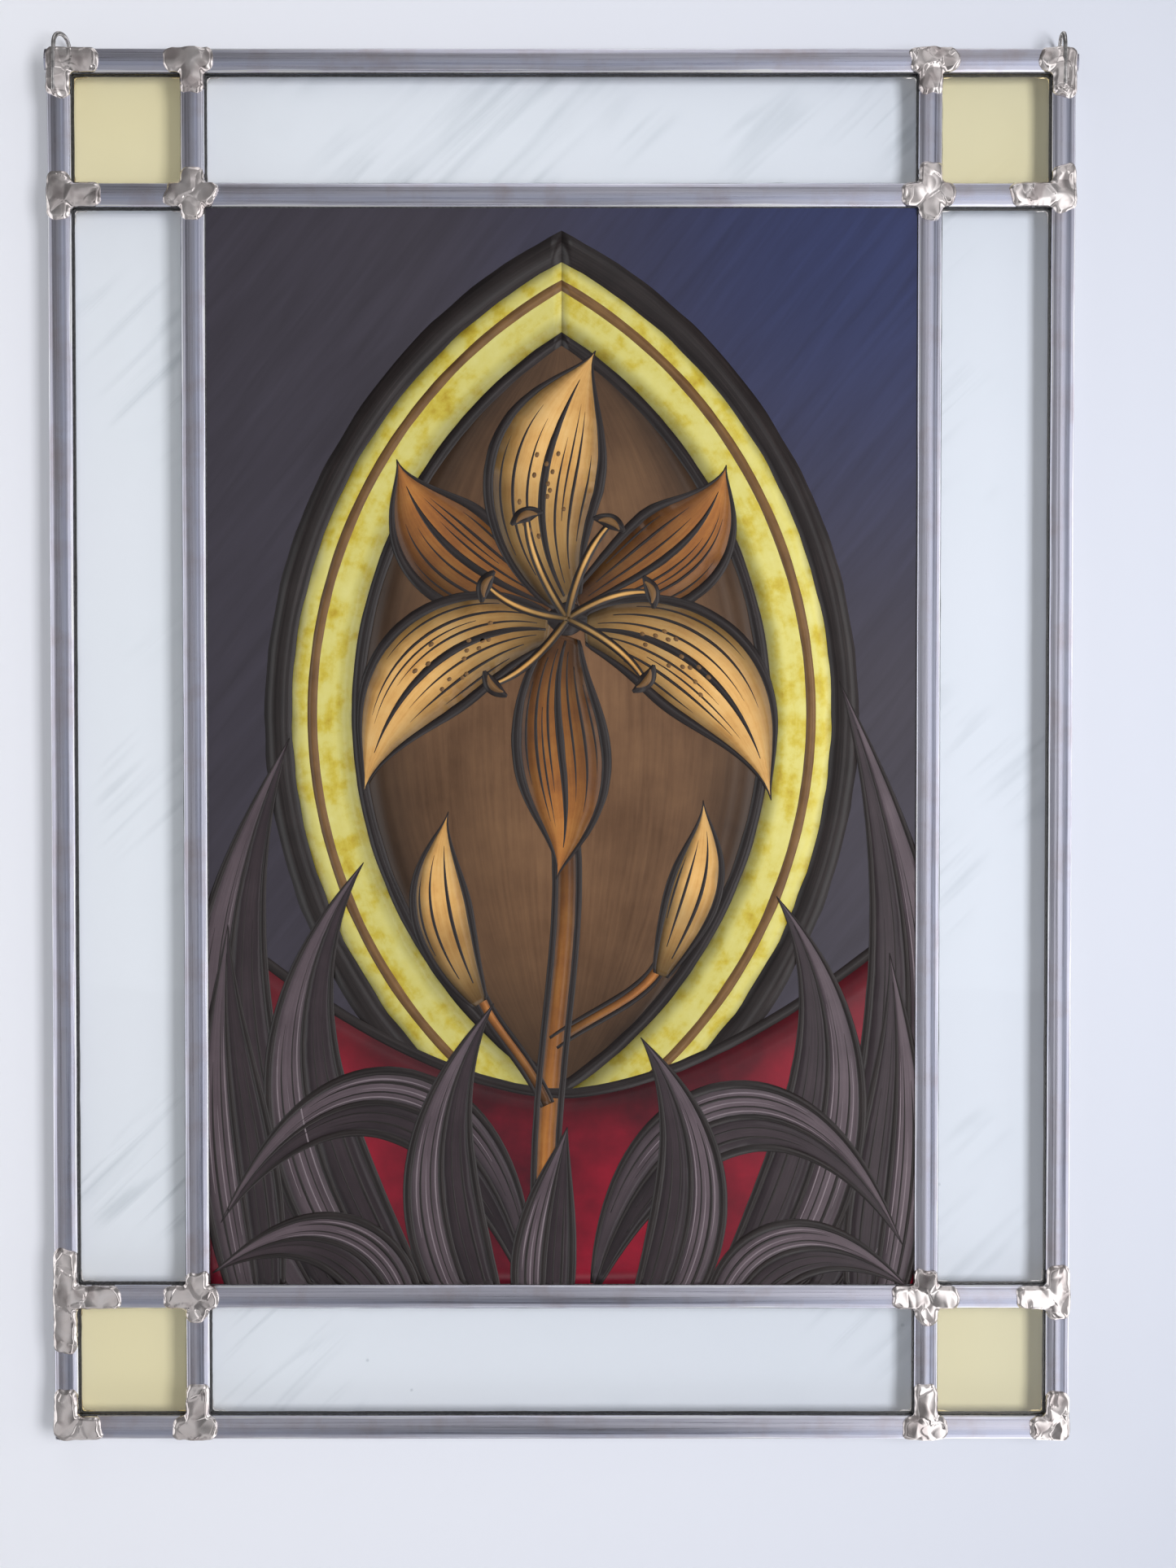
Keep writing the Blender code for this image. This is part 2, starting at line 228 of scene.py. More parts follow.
def came_material():
    """Dull milled lead, almost a mirror under its oxide: long streaks, brown handling marks, and bands of
    painted sheen.
    """
    made, tree, shader = new_material("milled_lead")
    grain = add_node(tree, "ShaderNodeUVMap", uv_map="UVMap").outputs["UV"]
    streaks = add_node(
        tree, "ShaderNodeTexNoise",
        {"Vector": add_node(tree, "ShaderNodeMapping", {
            "Vector": grain, "Scale": STREAK_SCALE}).outputs["Vector"],
         "Scale": 1.0, "Detail": 5.0, "Roughness": 0.65},
    ).outputs["Fac"]
    drift = add_node(
        tree, "ShaderNodeTexNoise",
        {"Vector": add_node(tree, "ShaderNodeMapping", {
            "Vector": grain, "Scale": DRIFT_SCALE}).outputs["Vector"],
         "Scale": 1.0, "Detail": 3.0},
    )
    across = add_node(tree, "ShaderNodeSeparateXYZ", {"Vector": grain})
    wandering = add_node(
        tree, "ShaderNodeMath",
        {0: drift.outputs["Fac"], 1: SHEEN_BAND_WANDER, 2: across.outputs["X"]}, operation="MULTIPLY_ADD",
    )
    # The painted sheen: bands of painted highlight and painted bluish reflection, multiplied over the
    # lead's tone and wandering with the drifts.
    sheen_band_place = add_node(
        tree, "ShaderNodeMapRange",
        {"Value": wandering.outputs["Value"], "From Min": SHEEN_BAND_EDGES[0], "From Max": SHEEN_BAND_EDGES[1]},
    )
    painted_sheen = set_ramp(
        add_node(tree, "ShaderNodeValToRGB", {"Fac": sheen_band_place.outputs["Result"]}),
        [(at, (r, g, b, 1.0)) for at, r, g, b in PAINTED_SHEEN_BANDS],
    )
    marks = add_node(
        tree, "ShaderNodeTexNoise",
        {"Vector": add_node(tree, "ShaderNodeTexCoord").outputs["Object"],
         "Scale": 1 / (HANDLING_MARK * MM), "Detail": 4.0, "Roughness": 0.6},
    )
    tone = set_ramp(
        add_node(tree, "ShaderNodeValToRGB", {"Fac": streaks}),
        ((0.25, linear(LEAD_DARK)), (0.5, linear(LEAD_BLUE_GREY)), (0.75, linear(LEAD_BRIGHT))),
    )
    brown_share = add_node(
        tree, "ShaderNodeMapRange",
        {"Value": marks.outputs["Fac"], "From Min": 0.48, "From Max": 0.72, "To Max": 0.5},
    )
    colour = add_node(
        tree, "ShaderNodeMix",
        {"Factor": brown_share.outputs["Result"], "A": tone, "B": linear(LEAD_BROWN)},
        data_type="RGBA",
    )
    with_painted_sheen = add_node(
        tree, "ShaderNodeMix", {"Factor": 1.0, "A": colour.outputs["Result"], "B": painted_sheen},
        data_type="RGBA", blend_type="MULTIPLY",
    )
    gloss = add_node(
        tree, "ShaderNodeMapRange",
        {"Value": streaks, "From Min": 0.3, "From Max": 0.7, "To Min": 0.24, "To Max": 0.36},
    )
    bump = add_node(
        tree, "ShaderNodeBump", {"Height": streaks, "Strength": 0.35, "Distance": STREAK_DEPTH * MM})
    set_inputs(shader, {
        "Base Color": with_painted_sheen.outputs["Result"], "Roughness": gloss.outputs["Result"],
        "Normal": bump.outputs["Normal"], "Metallic": 1.0})
    return made


milled_lead = came_material()
came_nodes = [
    "top_came", "bottom_came", "left_came", "right_came", "mid_left_upright", "mid_right_upright",
    "upper_bar_left", "upper_bar_middle", "upper_bar_right",
    "lower_bar_left", "lower_bar_middle", "lower_bar_right",
]
CLOSED_SIDE = {"top_came": 1, "bottom_came": -1, "left_came": -1, "right_came": 1}

for number, node in enumerate(came_nodes):
    low, high = box_mm(node)
    level = high.x - low.x > high.z - low.z
    centre = (low.z + high.z) / 2 if level else (low.x + high.x) / 2
    start, end = (low.x, high.x) if level else (low.z, high.z)
    section = came_section(node in CLOSED_SIDE)
    side = -CLOSED_SIDE.get(node, -1)
    rounded = ROUNDED_ENDS.get(node)

    def place_came(s, t):
        across, depth = section[round(s * (len(section) - 1))]
        along = start + t * (end - start)
        bend = smooth_noise(along / WAVER_LENGTH, number * 7.3, 0.0)
        swell = smooth_noise(along / SWELL_LENGTH, number * 5.1, 4.0)
        across = side * (across * (1 + SWELL * swell)) + HAND_WAVER * bend
        depth *= 1 + SWELL * smooth_noise(along / DEPTH_SWELL_LENGTH, number * 3.7, 9.0)
        if rounded and end - along < CORNER_ROUND:
            into_corner = CORNER_ROUND - end + along
            cut = CORNER_ROUND - math.sqrt(max(0.0, CORNER_ROUND ** 2 - into_corner ** 2))
            limit = (high.z - low.z) / 2 - cut
            across = min(across, limit) if rounded > 0 else max(across, -limit)
        if level:
            return along, depth, centre + across
        return centre + across, depth, along

    bm = bmesh.new()
    stations = max(8, round((end - start) / STATION))
    uv = bm.loops.layers.uv.new("UVMap")
    for face in add_sheet(bm, len(section) - 1, stations, place_came):
        for loop in face.loops:
            spot = loop.vert.co / MM
            loop[uv].uv = (centre - spot.z, spot.x) if level else (spot.x - centre, spot.z)
    bmesh.ops.remove_doubles(bm, verts=bm.verts, dist=WELD * MM)
    bmesh.ops.holes_fill(bm, edges=[e for e in bm.edges if e.is_boundary], sides=0)
    finish_piece("lead_" + node, bm, milled_lead, node)


# Border and corner panes
# Mouth-blown antique glass about 3 mm thick, cut square and slid into the cames. The border
# strips are clear, with reams, wispy cords and a few seeds. The corner squares are pale yellow.

# The cords and seeds are real, and their grey in the glass's colour is painted shade, for the shadows the
# reams throw on the wall behind.
CLEAR_TINT = "#fdffff"
CLEAR_DEEP = "#f8fdfc"
CLEAR_CORDS_AND_SHADE = "#b4bfc2"
YELLOW_TINT = "#fff5c6"
YELLOW_DEEP = "#fef0b8"
YELLOW_CORDS_AND_SHADE = "#e6d596"
GLASS_IOR = 1.52
CORD_WIDTH = 6.0
CORD_LENGTH = 110.0
CORD_SLANT = 46.0
CLOUD_SIZE = 75.0
SEED_SPACING = 26.0
# A seed fades out between these shares of the spacing.
SEED_EDGE = (0.022, 0.034)
PANE_STEP = 5.0
REAM_HEIGHT = 0.05
# The broad reams and the fine ones: width, height, place in the noise and strength.
REAMS = ((16.0, 30.0, 5.0, 1.0), (7.0, 12.0, 9.0, 0.5))
CUT_EDGE_ANGLE = 40.0


def slab(bm, faces, push):
    """Gives flat faces a thickness: a copy pushed along push, joined by side walls."""
    made = bmesh.ops.extrude_face_region(bm, geom=faces)["geom"]
    verts = [g for g in made if isinstance(g, bmesh.types.BMVert)]
    bmesh.ops.translate(bm, verts=verts, vec=Vector(push) * MM)
    return verts


def glass_material(name, tint, deep, cords_and_shade, cords_and_shade_share):
    """Antique glass: see-through by plain values, with cloudy wisps and seeds in its colour, greyed as
    painted shade.
    """
    made, tree, shader = new_material(name)
    place = add_node(tree, "ShaderNodeTexCoord").outputs["Object"]
    turned = add_node(
        tree, "ShaderNodeMapping",
        {"Vector": place, "Rotation": (0.0, math.radians(CORD_SLANT), 0.0),
         "Scale": (CORD_WIDTH * MM, 1.0, CORD_LENGTH * MM)}, vector_type="TEXTURE",
    )
    cords = add_node(
        tree, "ShaderNodeTexNoise",
        {"Vector": turned.outputs["Vector"], "Scale": 1.0, "Detail": 5.0, "Roughness": 0.5,
         "Distortion": 0.9},
    )
    clouds = add_node(
        tree, "ShaderNodeTexNoise",
        {"Vector": place, "Scale": 1 / (CLOUD_SIZE * MM), "Detail": 2.0},
    )
    seeds = add_node(
        tree, "ShaderNodeTexVoronoi", {"Vector": place, "Scale": 1 / (SEED_SPACING * MM)})
    cord_share = add_node(
        tree, "ShaderNodeMapRange",
        {"Value": cords.outputs["Fac"], "From Min": 0.49, "From Max": 0.84},
    )
    cloud_share = add_node(
        tree, "ShaderNodeMapRange",
        {"Value": clouds.outputs["Fac"], "From Min": 0.5, "From Max": 0.64},
        interpolation_type="SMOOTHSTEP",
    )
    seed_share = add_node(
        tree, "ShaderNodeMapRange",
        {"Value": seeds.outputs["Distance"], "From Min": SEED_EDGE[0], "From Max": SEED_EDGE[1],
         "To Min": 0.55, "To Max": 0.0},
    )
    # The grey of the cords and seeds: real reams and seeds, greyed as painted shade of the shadows they
    # throw on the wall.
    cords_and_shade_mask = add_node(
        tree, "ShaderNodeMath",
        {0: cord_share.outputs["Result"], 1: cloud_share.outputs["Result"]}, operation="MULTIPLY",
    )
    share = add_node(
        tree, "ShaderNodeMath",
        {0: cords_and_shade_mask.outputs["Value"], 1: cords_and_shade_share, 2: seed_share.outputs["Result"]},
        operation="MULTIPLY_ADD",
    )
    body = add_node(
        tree, "ShaderNodeMix",
        {"Factor": clouds.outputs["Fac"], "A": linear(tint), "B": linear(deep)}, data_type="RGBA",
    )
    colour = add_node(
        tree, "ShaderNodeMix",
        {"Factor": share.outputs["Value"], "A": body.outputs["Result"], "B": linear(cords_and_shade)},
        data_type="RGBA",
    )
    set_inputs(shader, {
        "Base Color": colour.outputs["Result"], "Roughness": 0.0, "IOR": GLASS_IOR,
        "Transmission Weight": 1.0})
    return made


def pane_piece(name, node, material):
    """A pane with softly uneven faces, in the place of its solid."""
    low, high = box_mm(node)
    width, height = high.x - low.x, high.z - low.z
    bm = bmesh.new()
    faces = add_sheet(
        bm, max(4, round(width / PANE_STEP)), max(4, round(height / PANE_STEP)),
        lambda s, t: (low.x + s * width, low.y, low.z + t * height), (width, height),
    )
    slab(bm, faces, (0, high.y - low.y, 0))
    for vertex in bm.verts:
        outward = -1 if vertex.co.y < 0 else 1
        x, z = vertex.co.x / MM, vertex.co.z / MM
        ream = sum(strength * smooth_noise(x / wide, z / tall, outward * layer)
                   for wide, tall, layer, strength in REAMS)
        vertex.co.y -= outward * REAM_HEIGHT * (0.5 - 0.5 * ream) * MM
    piece = finish_piece(name, bm, material, node)
    piece.data.set_sharp_from_angle(angle=math.radians(CUT_EDGE_ANGLE))
    piece.visible_shadow = False
    piece.visible_diffuse = False


clear_antique = glass_material("clear_antique_glass", CLEAR_TINT, CLEAR_DEEP, CLEAR_CORDS_AND_SHADE, 0.7)
yellow_antique = glass_material("yellow_antique_glass", YELLOW_TINT, YELLOW_DEEP, YELLOW_CORDS_AND_SHADE, 0.3)
for spot in ("top", "bottom", "left", "right"):
    pane_piece("clear_strip_" + spot, "clear_pane_" + spot, clear_antique)
for spot in ("top_left", "top_right", "bottom_left", "bottom_right"):
    pane_piece("yellow_square_" + spot, "yellow_pane_" + spot, yellow_antique)


# Cement
# Whiting and linseed putty with lampblack, pressed under the lips to seal the glass in. Once it
# has set and been picked clean, a thin dark bead is left along every lip, on both faces.

CEMENT_DARK = "#2b2b2c"
CEMENT_GREY = "#59595a"
CEMENT_GRIT = 0.8
GLASS_FACE = 1.6
# The bead's section: how far each point stands out from under the lip, and its depth.
CEMENT_SECTION = (
    (-0.5, GLASS_FACE - 0.05), (-0.5, GLASS_FACE + 0.25), (0.0, GLASS_FACE + 0.3),
    (0.21, GLASS_FACE + 0.06), (0.3, GLASS_FACE - 0.05),
)
CEMENT_WAVER = 0.5
CEMENT_WAVER_LENGTH = 6.0
CEMENT_STATION = 16.0


def cement_material():
    """Dried putty cement: near black and matt, with a fine grit of grey whiting."""
    made, tree, shader = new_material("lampblack_cement")
    grit = add_node(
        tree, "ShaderNodeTexNoise",
        {"Vector": add_node(tree, "ShaderNodeTexCoord").outputs["Object"],
         "Scale": 1 / (CEMENT_GRIT * MM), "Detail": 3.0},
    )
    tone = set_ramp(
        add_node(tree, "ShaderNodeValToRGB", {"Fac": grit.outputs["Fac"]}),
        ((0.3, linear(CEMENT_DARK)), (0.7, linear(CEMENT_GREY))),
    )
    set_inputs(shader, {"Base Color": tone, "Roughness": 0.85})
    return made


def openings(first, *between, last, axis):
    """Where the daylight openings start and end along an axis, from one edge came to the other."""
    middle = [corner[axis] for node in between for corner in box_mm(node)]
    return [box_mm(first)[1][axis], *middle, box_mm(last)[0][axis]]


cement = cement_material()
x_edges = openings("left_came", "mid_left_upright", "mid_right_upright", last="right_came", axis=0)
z_edges = openings("bottom_came", "lower_bar_middle", "upper_bar_middle", last="top_came", axis=2)
bm = bmesh.new()
for column in range(3):
    for row in range(3):
        left, right = x_edges[2 * column:2 * column + 2]
        foot, head = z_edges[2 * row:2 * row + 2]
        rim = 2 * (right - left + head - foot)
        for side in (-1, 1):
            def place_cement(s, t):
                reach, depth = CEMENT_SECTION[round(t * 5) % 5]
                if reach > 0:
                    along = s * rim / CEMENT_WAVER_LENGTH
                    reach *= 1 + CEMENT_WAVER * smooth_noise(along, column * 3.0, row * 5.0 + side)
                x0, x1, z0, z1 = left + reach, right - reach, foot + reach, head - reach
                corners = ((x0, z0), (x1, z0), (x1, z1), (x0, z1), (x0, z0))
                here, there = corners[int(s * 4) % 4], corners[int(s * 4) % 4 + 1]
                share = s * 4 - int(s * 4)
                return (here[0] + share * (there[0] - here[0]), side * depth,
                        here[1] + share * (there[1] - here[1]))
            add_sheet(bm, 4 * max(8, round(rim / CEMENT_STATION)), 5, place_cement, (rim, 2.0))
bmesh.ops.remove_doubles(bm, verts=bm.verts, dist=WELD * MM)
finish_piece("cement_beads", bm, cement)


# Solder joints
# Bright tin-lead solder run over every joint with a hot iron, about 1 mm thick. It freezes with
# crisp irregular edges, rolled rims and shiny flats that meet in soft creases. At the two
# hanging loops it is drawn up over the wire, in a web on the inner side and a blob at the foot.

SOLDER_TIN = "#e0d8d5"
SOLDER_SHADE = "#beb4b2"
SOLDER_SHINE = "#ebe5e3"
SOLDER_CLOUD = 7.0
FRONT_STEP = 0.26
BACK_STEP = 0.45
END_WAVER = 1.5
END_WAVER_LENGTH = 4.4
SIDE_WAVER = 0.25
SIDE_WAVER_LENGTH = 2.6
ARM_OVERLAP = 0.05
ARM_ROUND = 3.0
NOOK_REACH = 1.6
NOOK_FILL = 0.16
BEAD_HEIGHT = 0.95
BEAD_SWELL = 0.16
BEAD_SWELL_LENGTH = 6.5
FLAT_SIZE = 8.5
FLAT_TILT = 0.24
FLAT_BEND = 0.35
SOLDER_SEED = 5
FLAT_BEND_LENGTH = 5.5
CREASE = 0.25
RIM_SLOPE = 1.15
RIM_SLOPE_LENGTH = 5.0
RIM_START = 0.1
THINNEST = 0.25
LEAD_FACE = LIP_EDGE + FACE_RISE
SOLDER_LIMIT = 4.85
SOLDER_BACK = 0.9
FOLLOWS_LEAD = 0.6
PROBE = 0.05
GENTLEST = 0.2
SHEET_MARGIN = 0.5
WIRE_RADIUS = 0.7
# The solder at a hanging wire: its cover, the web beside it, and the blob with a pit at its foot.
WIRE_COVER = 0.3
WEB_HEIGHT = 0.45
WEB_WIDTH = 5.2
WEB_CURVE = 0.7
WEB_FOOT = 0.6
BLOB_DROP = 1.4
BLOB_HEIGHT, BLOB_SIZE = 0.6, 1.6
PIT_DEPTH, PIT_SIZE = 0.8, 0.7
COLUMNS = {"left": "left_came", "mid_left": "mid_left_upright",
           "mid_right": "mid_right_upright", "right": "right_came"}
ROWS = {"top": "top_came", "upper": "upper_bar_middle",
        "lower": "lower_bar_middle", "bottom": "bottom_came"}


def solder_material():
    """Frozen tin-lead solder: nearly a mirror, slightly warm, with faint dull clouds."""
    made, tree, shader = new_material("bright_solder")
    skin = add_node(
        tree, "ShaderNodeTexNoise",
        {"Vector": add_node(tree, "ShaderNodeTexCoord").outputs["Object"],
         "Scale": 1 / (SOLDER_CLOUD * MM), "Detail": 1.0, "Roughness": 0.4, "Distortion": 0.8},
    )
    tone = set_ramp(
        add_node(tree, "ShaderNodeValToRGB", {"Fac": skin.outputs["Fac"]}),
        ((0.3, linear(SOLDER_SHADE)), (0.46, linear(SOLDER_TIN)), (0.8, linear(SOLDER_SHINE))),
    )
    gloss = add_node(
        tree, "ShaderNodeMapRange",
        {"Value": skin.outputs["Fac"], "From Min": 0.35, "From Max": 0.65,
         "To Min": 0.05, "To Max": 0.12},
    )
    set_inputs(shader, {"Base Color": tone, "Roughness": gloss.outputs["Result"], "Metallic": 0.86})
    return made


def lead_surface(across):
    """How far the face of a came stands out, across millimetres from its middle."""
    return LIP_EDGE + FACE_RISE * crown(min(1.0, abs(across) / FACE_HALF))


def arm_depth(x, z, low, high, soft):
    """How deep a point lies inside an arm of solder, a box with soft corners."""
    dx = max(low[0] - x, x - high[0]) + soft
    dz = max(low[1] - z, z - high[1]) + soft
    return soft - (math.hypot(max(dx, 0.0), max(dz, 0.0)) + min(max(dx, dz), 0.0))


def flats(x, z, seed):
    """Broad flats of frozen solder that meet in soft creases: their height in millimetres."""
    bend = noise.noise_vector(Vector((x / FLAT_BEND_LENGTH, z / FLAT_BEND_LENGTH, seed + 20)))
    spot = Vector((x / FLAT_SIZE + bend.x * FLAT_BEND, z / FLAT_SIZE + bend.y * FLAT_BEND, seed))
    distances, middles = noise.voronoi(spot)
    heights = []
    for middle in middles[:2]:
        tilt = noise.noise_vector(middle * 3.7)
        slope = tilt.x * (spot.x - middle.x) + tilt.y * (spot.y - middle.y)
        heights.append(slope * FLAT_SIZE * FLAT_TILT)
    share = min(1.0, (distances[1] - distances[0]) / CREASE)
    return heights[0] + (heights[1] - heights[0]) * 0.5 * (1 - share)


def joint_piece(face, row, column):
    """One run of solder, as a slab over its joint that swells to a crown inside its rim."""
    node = f"solder_{face}_{row}_{column}"
    outward = -1 if face == "front" else 1
    step = FRONT_STEP if face == "front" else BACK_STEP
    low, high = box_mm(node)
    cx = sum(corner.x for corner in box_mm(COLUMNS[column])) / 2
    cz = sum(corner.z for corner in box_mm(ROWS[row])) / 2
    side = FACE_HALF + ARM_OVERLAP
    upright = ((cx - side, low.z), (cx + side, high.z))
    level = ((low.x, cz - side), (high.x, cz + side))
    seed = sum(ord(letter) * (place + 1) for place, letter in enumerate(node)) % 97
    leg = None
    if row == "top" and face == "front" and column in ("left", "right"):
        wire_low = box_mm("hanging_loop_" + column)[0]
        leg = (wire_low.x + WIRE_RADIUS, wire_low.z, 1 if column == "left" else -1)

    def depth_at(x, z):
        """How deep a point lies inside the outline, below 0 outside it."""
        end_x = x + END_WAVER * smooth_noise(z / END_WAVER_LENGTH, 3.0, seed)
        end_z = z + END_WAVER * smooth_noise(x / END_WAVER_LENGTH, 7.0, seed)
        side_x = x + SIDE_WAVER * smooth_noise(z / SIDE_WAVER_LENGTH, 11.0, seed)
        side_z = z + SIDE_WAVER * smooth_noise(x / SIDE_WAVER_LENGTH, 15.0, seed)
        one = arm_depth(side_x, end_z, *upright, ARM_ROUND)
        two = arm_depth(end_x, side_z, *level, ARM_ROUND)
        return max(one, two) + NOOK_FILL * max(0.0, NOOK_REACH - abs(one - two)) ** 2

    def wire_solder(x, z):
        """The solder that is drawn over the wire's leg, beside it and round its foot."""
        inward = (x - leg[0]) * leg[2]
        drop = (z - leg[1]) / (high.z - leg[1])
        web = WEB_WIDTH * (1 - drop) ** WEB_CURVE if drop < 1 else WEB_FOOT
        cover = WIRE_COVER * bell(inward, 1.0) if z > leg[1] else 0
        slope = max(0.0, 1 - inward / web) if 0 < inward and 0 < drop else 0
        foot = math.hypot(x - leg[0], z - leg[1] + BLOB_DROP)
        blob = BLOB_HEIGHT * bell(foot, BLOB_SIZE) - PIT_DEPTH * bell(foot, PIT_SIZE)
        return max(cover, WEB_HEIGHT * slope) + blob

    def rise_at(x, z, depth):
        """How thick the solder stands over the lead at a point this deep inside its outline."""
        swell = smooth_noise(x / BEAD_SWELL_LENGTH, z / BEAD_SWELL_LENGTH, seed + 40)
        thick = BEAD_HEIGHT + BEAD_SWELL * swell + flats(x, z, seed)
        uneven = smooth_noise(x / RIM_SLOPE_LENGTH, z / RIM_SLOPE_LENGTH, seed + 70)
        if leg:
            thick += wire_solder(x, z)
        rim = min(1.0, depth / (RIM_SLOPE * (1 + 0.8 * uneven)))
        return RIM_START + rim * (1.5 - 0.5 * rim) * (max(THINNEST, thick) - RIM_START)

    width, height = high.x - low.x + 2 * SHEET_MARGIN, high.z - low.z + 2 * SHEET_MARGIN
    left, foot = low.x - SHEET_MARGIN, low.z - SHEET_MARGIN
    bm = bmesh.new()
    add_sheet(
        bm, round(width / step), round(height / step),
        lambda s, t: (left + s * width, 0.0, foot + t * height), (width, height),
    )
    depths = {v: depth_at(v.co.x / MM, v.co.z / MM) for v in bm.verts}
    outside = [f for f in bm.faces if all(depths[v] < 0 for v in f.verts)]
    bmesh.ops.delete(bm, geom=outside, context="FACES")

    # The corners left just outside move in along the slope of the depth, on to the outline.
    for vertex in [v for v in bm.verts if v.is_boundary and depths[v] < 0]:
        x, z, depth = vertex.co.x / MM, vertex.co.z / MM, depths[vertex]
        slope = Vector((depth_at(x + PROBE, z) - depth, depth_at(x, z + PROBE) - depth)) / PROBE
        if slope.length > GENTLEST:
            move = slope * (-depth / slope.length_squared)
            move *= min(1.0, step * 1.2 / max(move.length, 1e-6))
            vertex.co.x += move.x * MM
            vertex.co.z += move.y * MM
    for vertex in bm.verts:
        x, z = vertex.co.x / MM, vertex.co.z / MM
        lead = max(
            lead_surface(x - cx) if upright[0][1] <= z <= upright[1][1] else 0,
            lead_surface(z - cz) if level[0][0] <= x <= level[1][0] else 0,
        )
        under = FOLLOWS_LEAD * lead + (1 - FOLLOWS_LEAD) * LEAD_FACE
        out = under + rise_at(x, z, max(0.0, depth_at(x, z)))
        vertex.co.y = outward * min(SOLDER_LIMIT, out) * MM
    slab(bm, list(bm.faces), (0, -outward * SOLDER_BACK, 0))
    finish_piece(f"run_{face}_{row}_{column}", bm, bright_solder, node)


bright_solder = solder_material()
noise.seed_set(SOLDER_SEED)
for face in ("front", "back"):
    for row in ROWS:
        for column in COLUMNS:
            joint_piece(face, row, column)


# Hanging loops
# Tinned copper wire of 1.4 mm, bent over the top edge with pliers, its two legs soldered flat
# to the faces of the panel. The tin is grey and satin, and dulls in small spots.

TIN_DULL = "#a09e9e"
TIN_CLEAN = "#cbc8c7"
TIN_SPOT = 1.5
CREST_SHARE = 0.68
BACK_BEND = 3.0
BACK_DROP = 12.6
BACK_FOOT = 4.4
BEND_STEPS = 10
WIRE_SIDES = 16
WIRE_LENGTH = 40.0


def wire_material():
    """Tinned copper, drawn smooth: a satin metal between clean and dull tin, in small spots."""
    made, tree, shader = new_material("tinned_wire")
    spots = add_node(
        tree, "ShaderNodeTexNoise",
        {"Vector": add_node(tree, "ShaderNodeTexCoord").outputs["Object"],
         "Scale": 1 / (TIN_SPOT * MM), "Detail": 4.0},
    )
    tone = set_ramp(
        add_node(tree, "ShaderNodeValToRGB", {"Fac": spots.outputs["Fac"]}),
        ((0.35, linear(TIN_DULL)), (0.6, linear(TIN_CLEAN))),
    )
    set_inputs(shader, {"Base Color": tone, "Metallic": 1.0, "Roughness": 0.27})
    return made


tinned_wire = wire_material()
for hand in ("left", "right"):
    node = "hanging_loop_" + hand
    low, high = box_mm(node)
    came_low, came_high = box_mm(hand + "_came")
    foot_x = came_low.x + BACK_FOOT if hand == "left" else came_high.x - BACK_FOOT
    top = box_mm("top_came")[1].z
    crest = high.z - WIRE_RADIUS
    front = Vector((low.x + WIRE_RADIUS, low.y + WIRE_RADIUS))
    back = Vector((high.x - WIRE_RADIUS, high.y - WIRE_RADIUS))
    route = [Vector((*front, low.z)), Vector((*front, (low.z + top) / 2))]
    for step in range(BEND_STEPS + 1):
        angle = math.radians(90 / BEND_STEPS * step)
        flat = front.lerp(back, CREST_SHARE * (1 - math.cos(angle)))
        route.append(Vector((*flat, top + (crest - top) * math.sin(angle))))
    for step in range(1, BEND_STEPS + 1):
        angle = math.radians(90 - 90 / BEND_STEPS * step)
        flat = back.lerp(front, (1 - CREST_SHARE) * (1 - math.cos(angle)))
        route.append(Vector((*flat, crest - BACK_BEND * (1 - math.sin(angle)))))
    route.append(Vector((foot_x, back.y, top - BACK_DROP)))
    through = (back - front).normalized()
    sideways = Vector((through.y, -through.x, 0))

    def place_wire(s, t):
        index = round(t * (len(route) - 1))
        ahead = route[min(index + 1, len(route) - 1)] - route[max(index - 1, 0)]
        up = sideways.cross(ahead).normalized()
        turn = 2 * math.pi * s
        return route[index] + WIRE_RADIUS * (sideways * math.cos(turn) + up * math.sin(turn))

    bm = bmesh.new()
    girth = 2 * math.pi * WIRE_RADIUS
    add_sheet(bm, WIRE_SIDES, len(route) - 1, place_wire, (girth, WIRE_LENGTH))
    bmesh.ops.remove_doubles(bm, verts=bm.verts, dist=WELD * MM)
    bmesh.ops.holes_fill(bm, edges=[e for e in bm.edges if e.is_boundary], sides=0)
    finish_piece("wire_loop_" + hand, bm, tinned_wire, node)


# Painted centre pane
# One sheet of glass, painted and fired: a slate and navy ground, a pointed oval band in yellow
# silver stain, an amber lily, and long violet leaves on ruby. Black tracing paint draws every
# outline with a long-haired brush, and thin brown matt is brushed over the stain for shade.

# Coats lie this far apart from the glass outwards, and strokes that cross differ a little.
COAT = 0.012
WET = 0.0015
PAINT_ROOT = 0.05
RAGGED = 0.12
PANE_HALF = Vector((126.0, 191.0))
OVAL_CENTRE = Vector((0.0, 12.0))
OVAL_OUTER = 181.3
OVAL_OFFSET = 85.3
BAND_WIDTH = 23.0
UMBER_INSET = 8.0
BRUSH_RELIEF = 0.05
SLATE = ("#332f37", "#3d3943")
NAVY = ("#20274a", "#29325a")
GROUND_STREAK = (60.0, 5.0)
GROUND_SLANT = -52.0
GROUND_RELIEF = 0.1
NAVY_CORNER = (110.0, 0.0, -70.0)
NAVY_FADE = (170.0, 5.0)

pane_middle = sum(box_mm("painted_pane"), Vector()) / 2
pane_face = box_mm("painted_pane")[1].y
strokes_laid = 0


def bezier(*knots):
    """A route on the pane in millimetres: the Bezier curve on these control points."""
    def at(share):
        points = [Vector(knot) for knot in knots]
        while len(points) > 1:
            points = [a.lerp(b, share) for a, b in zip(points, points[1:])]
        return points[0]
    return at


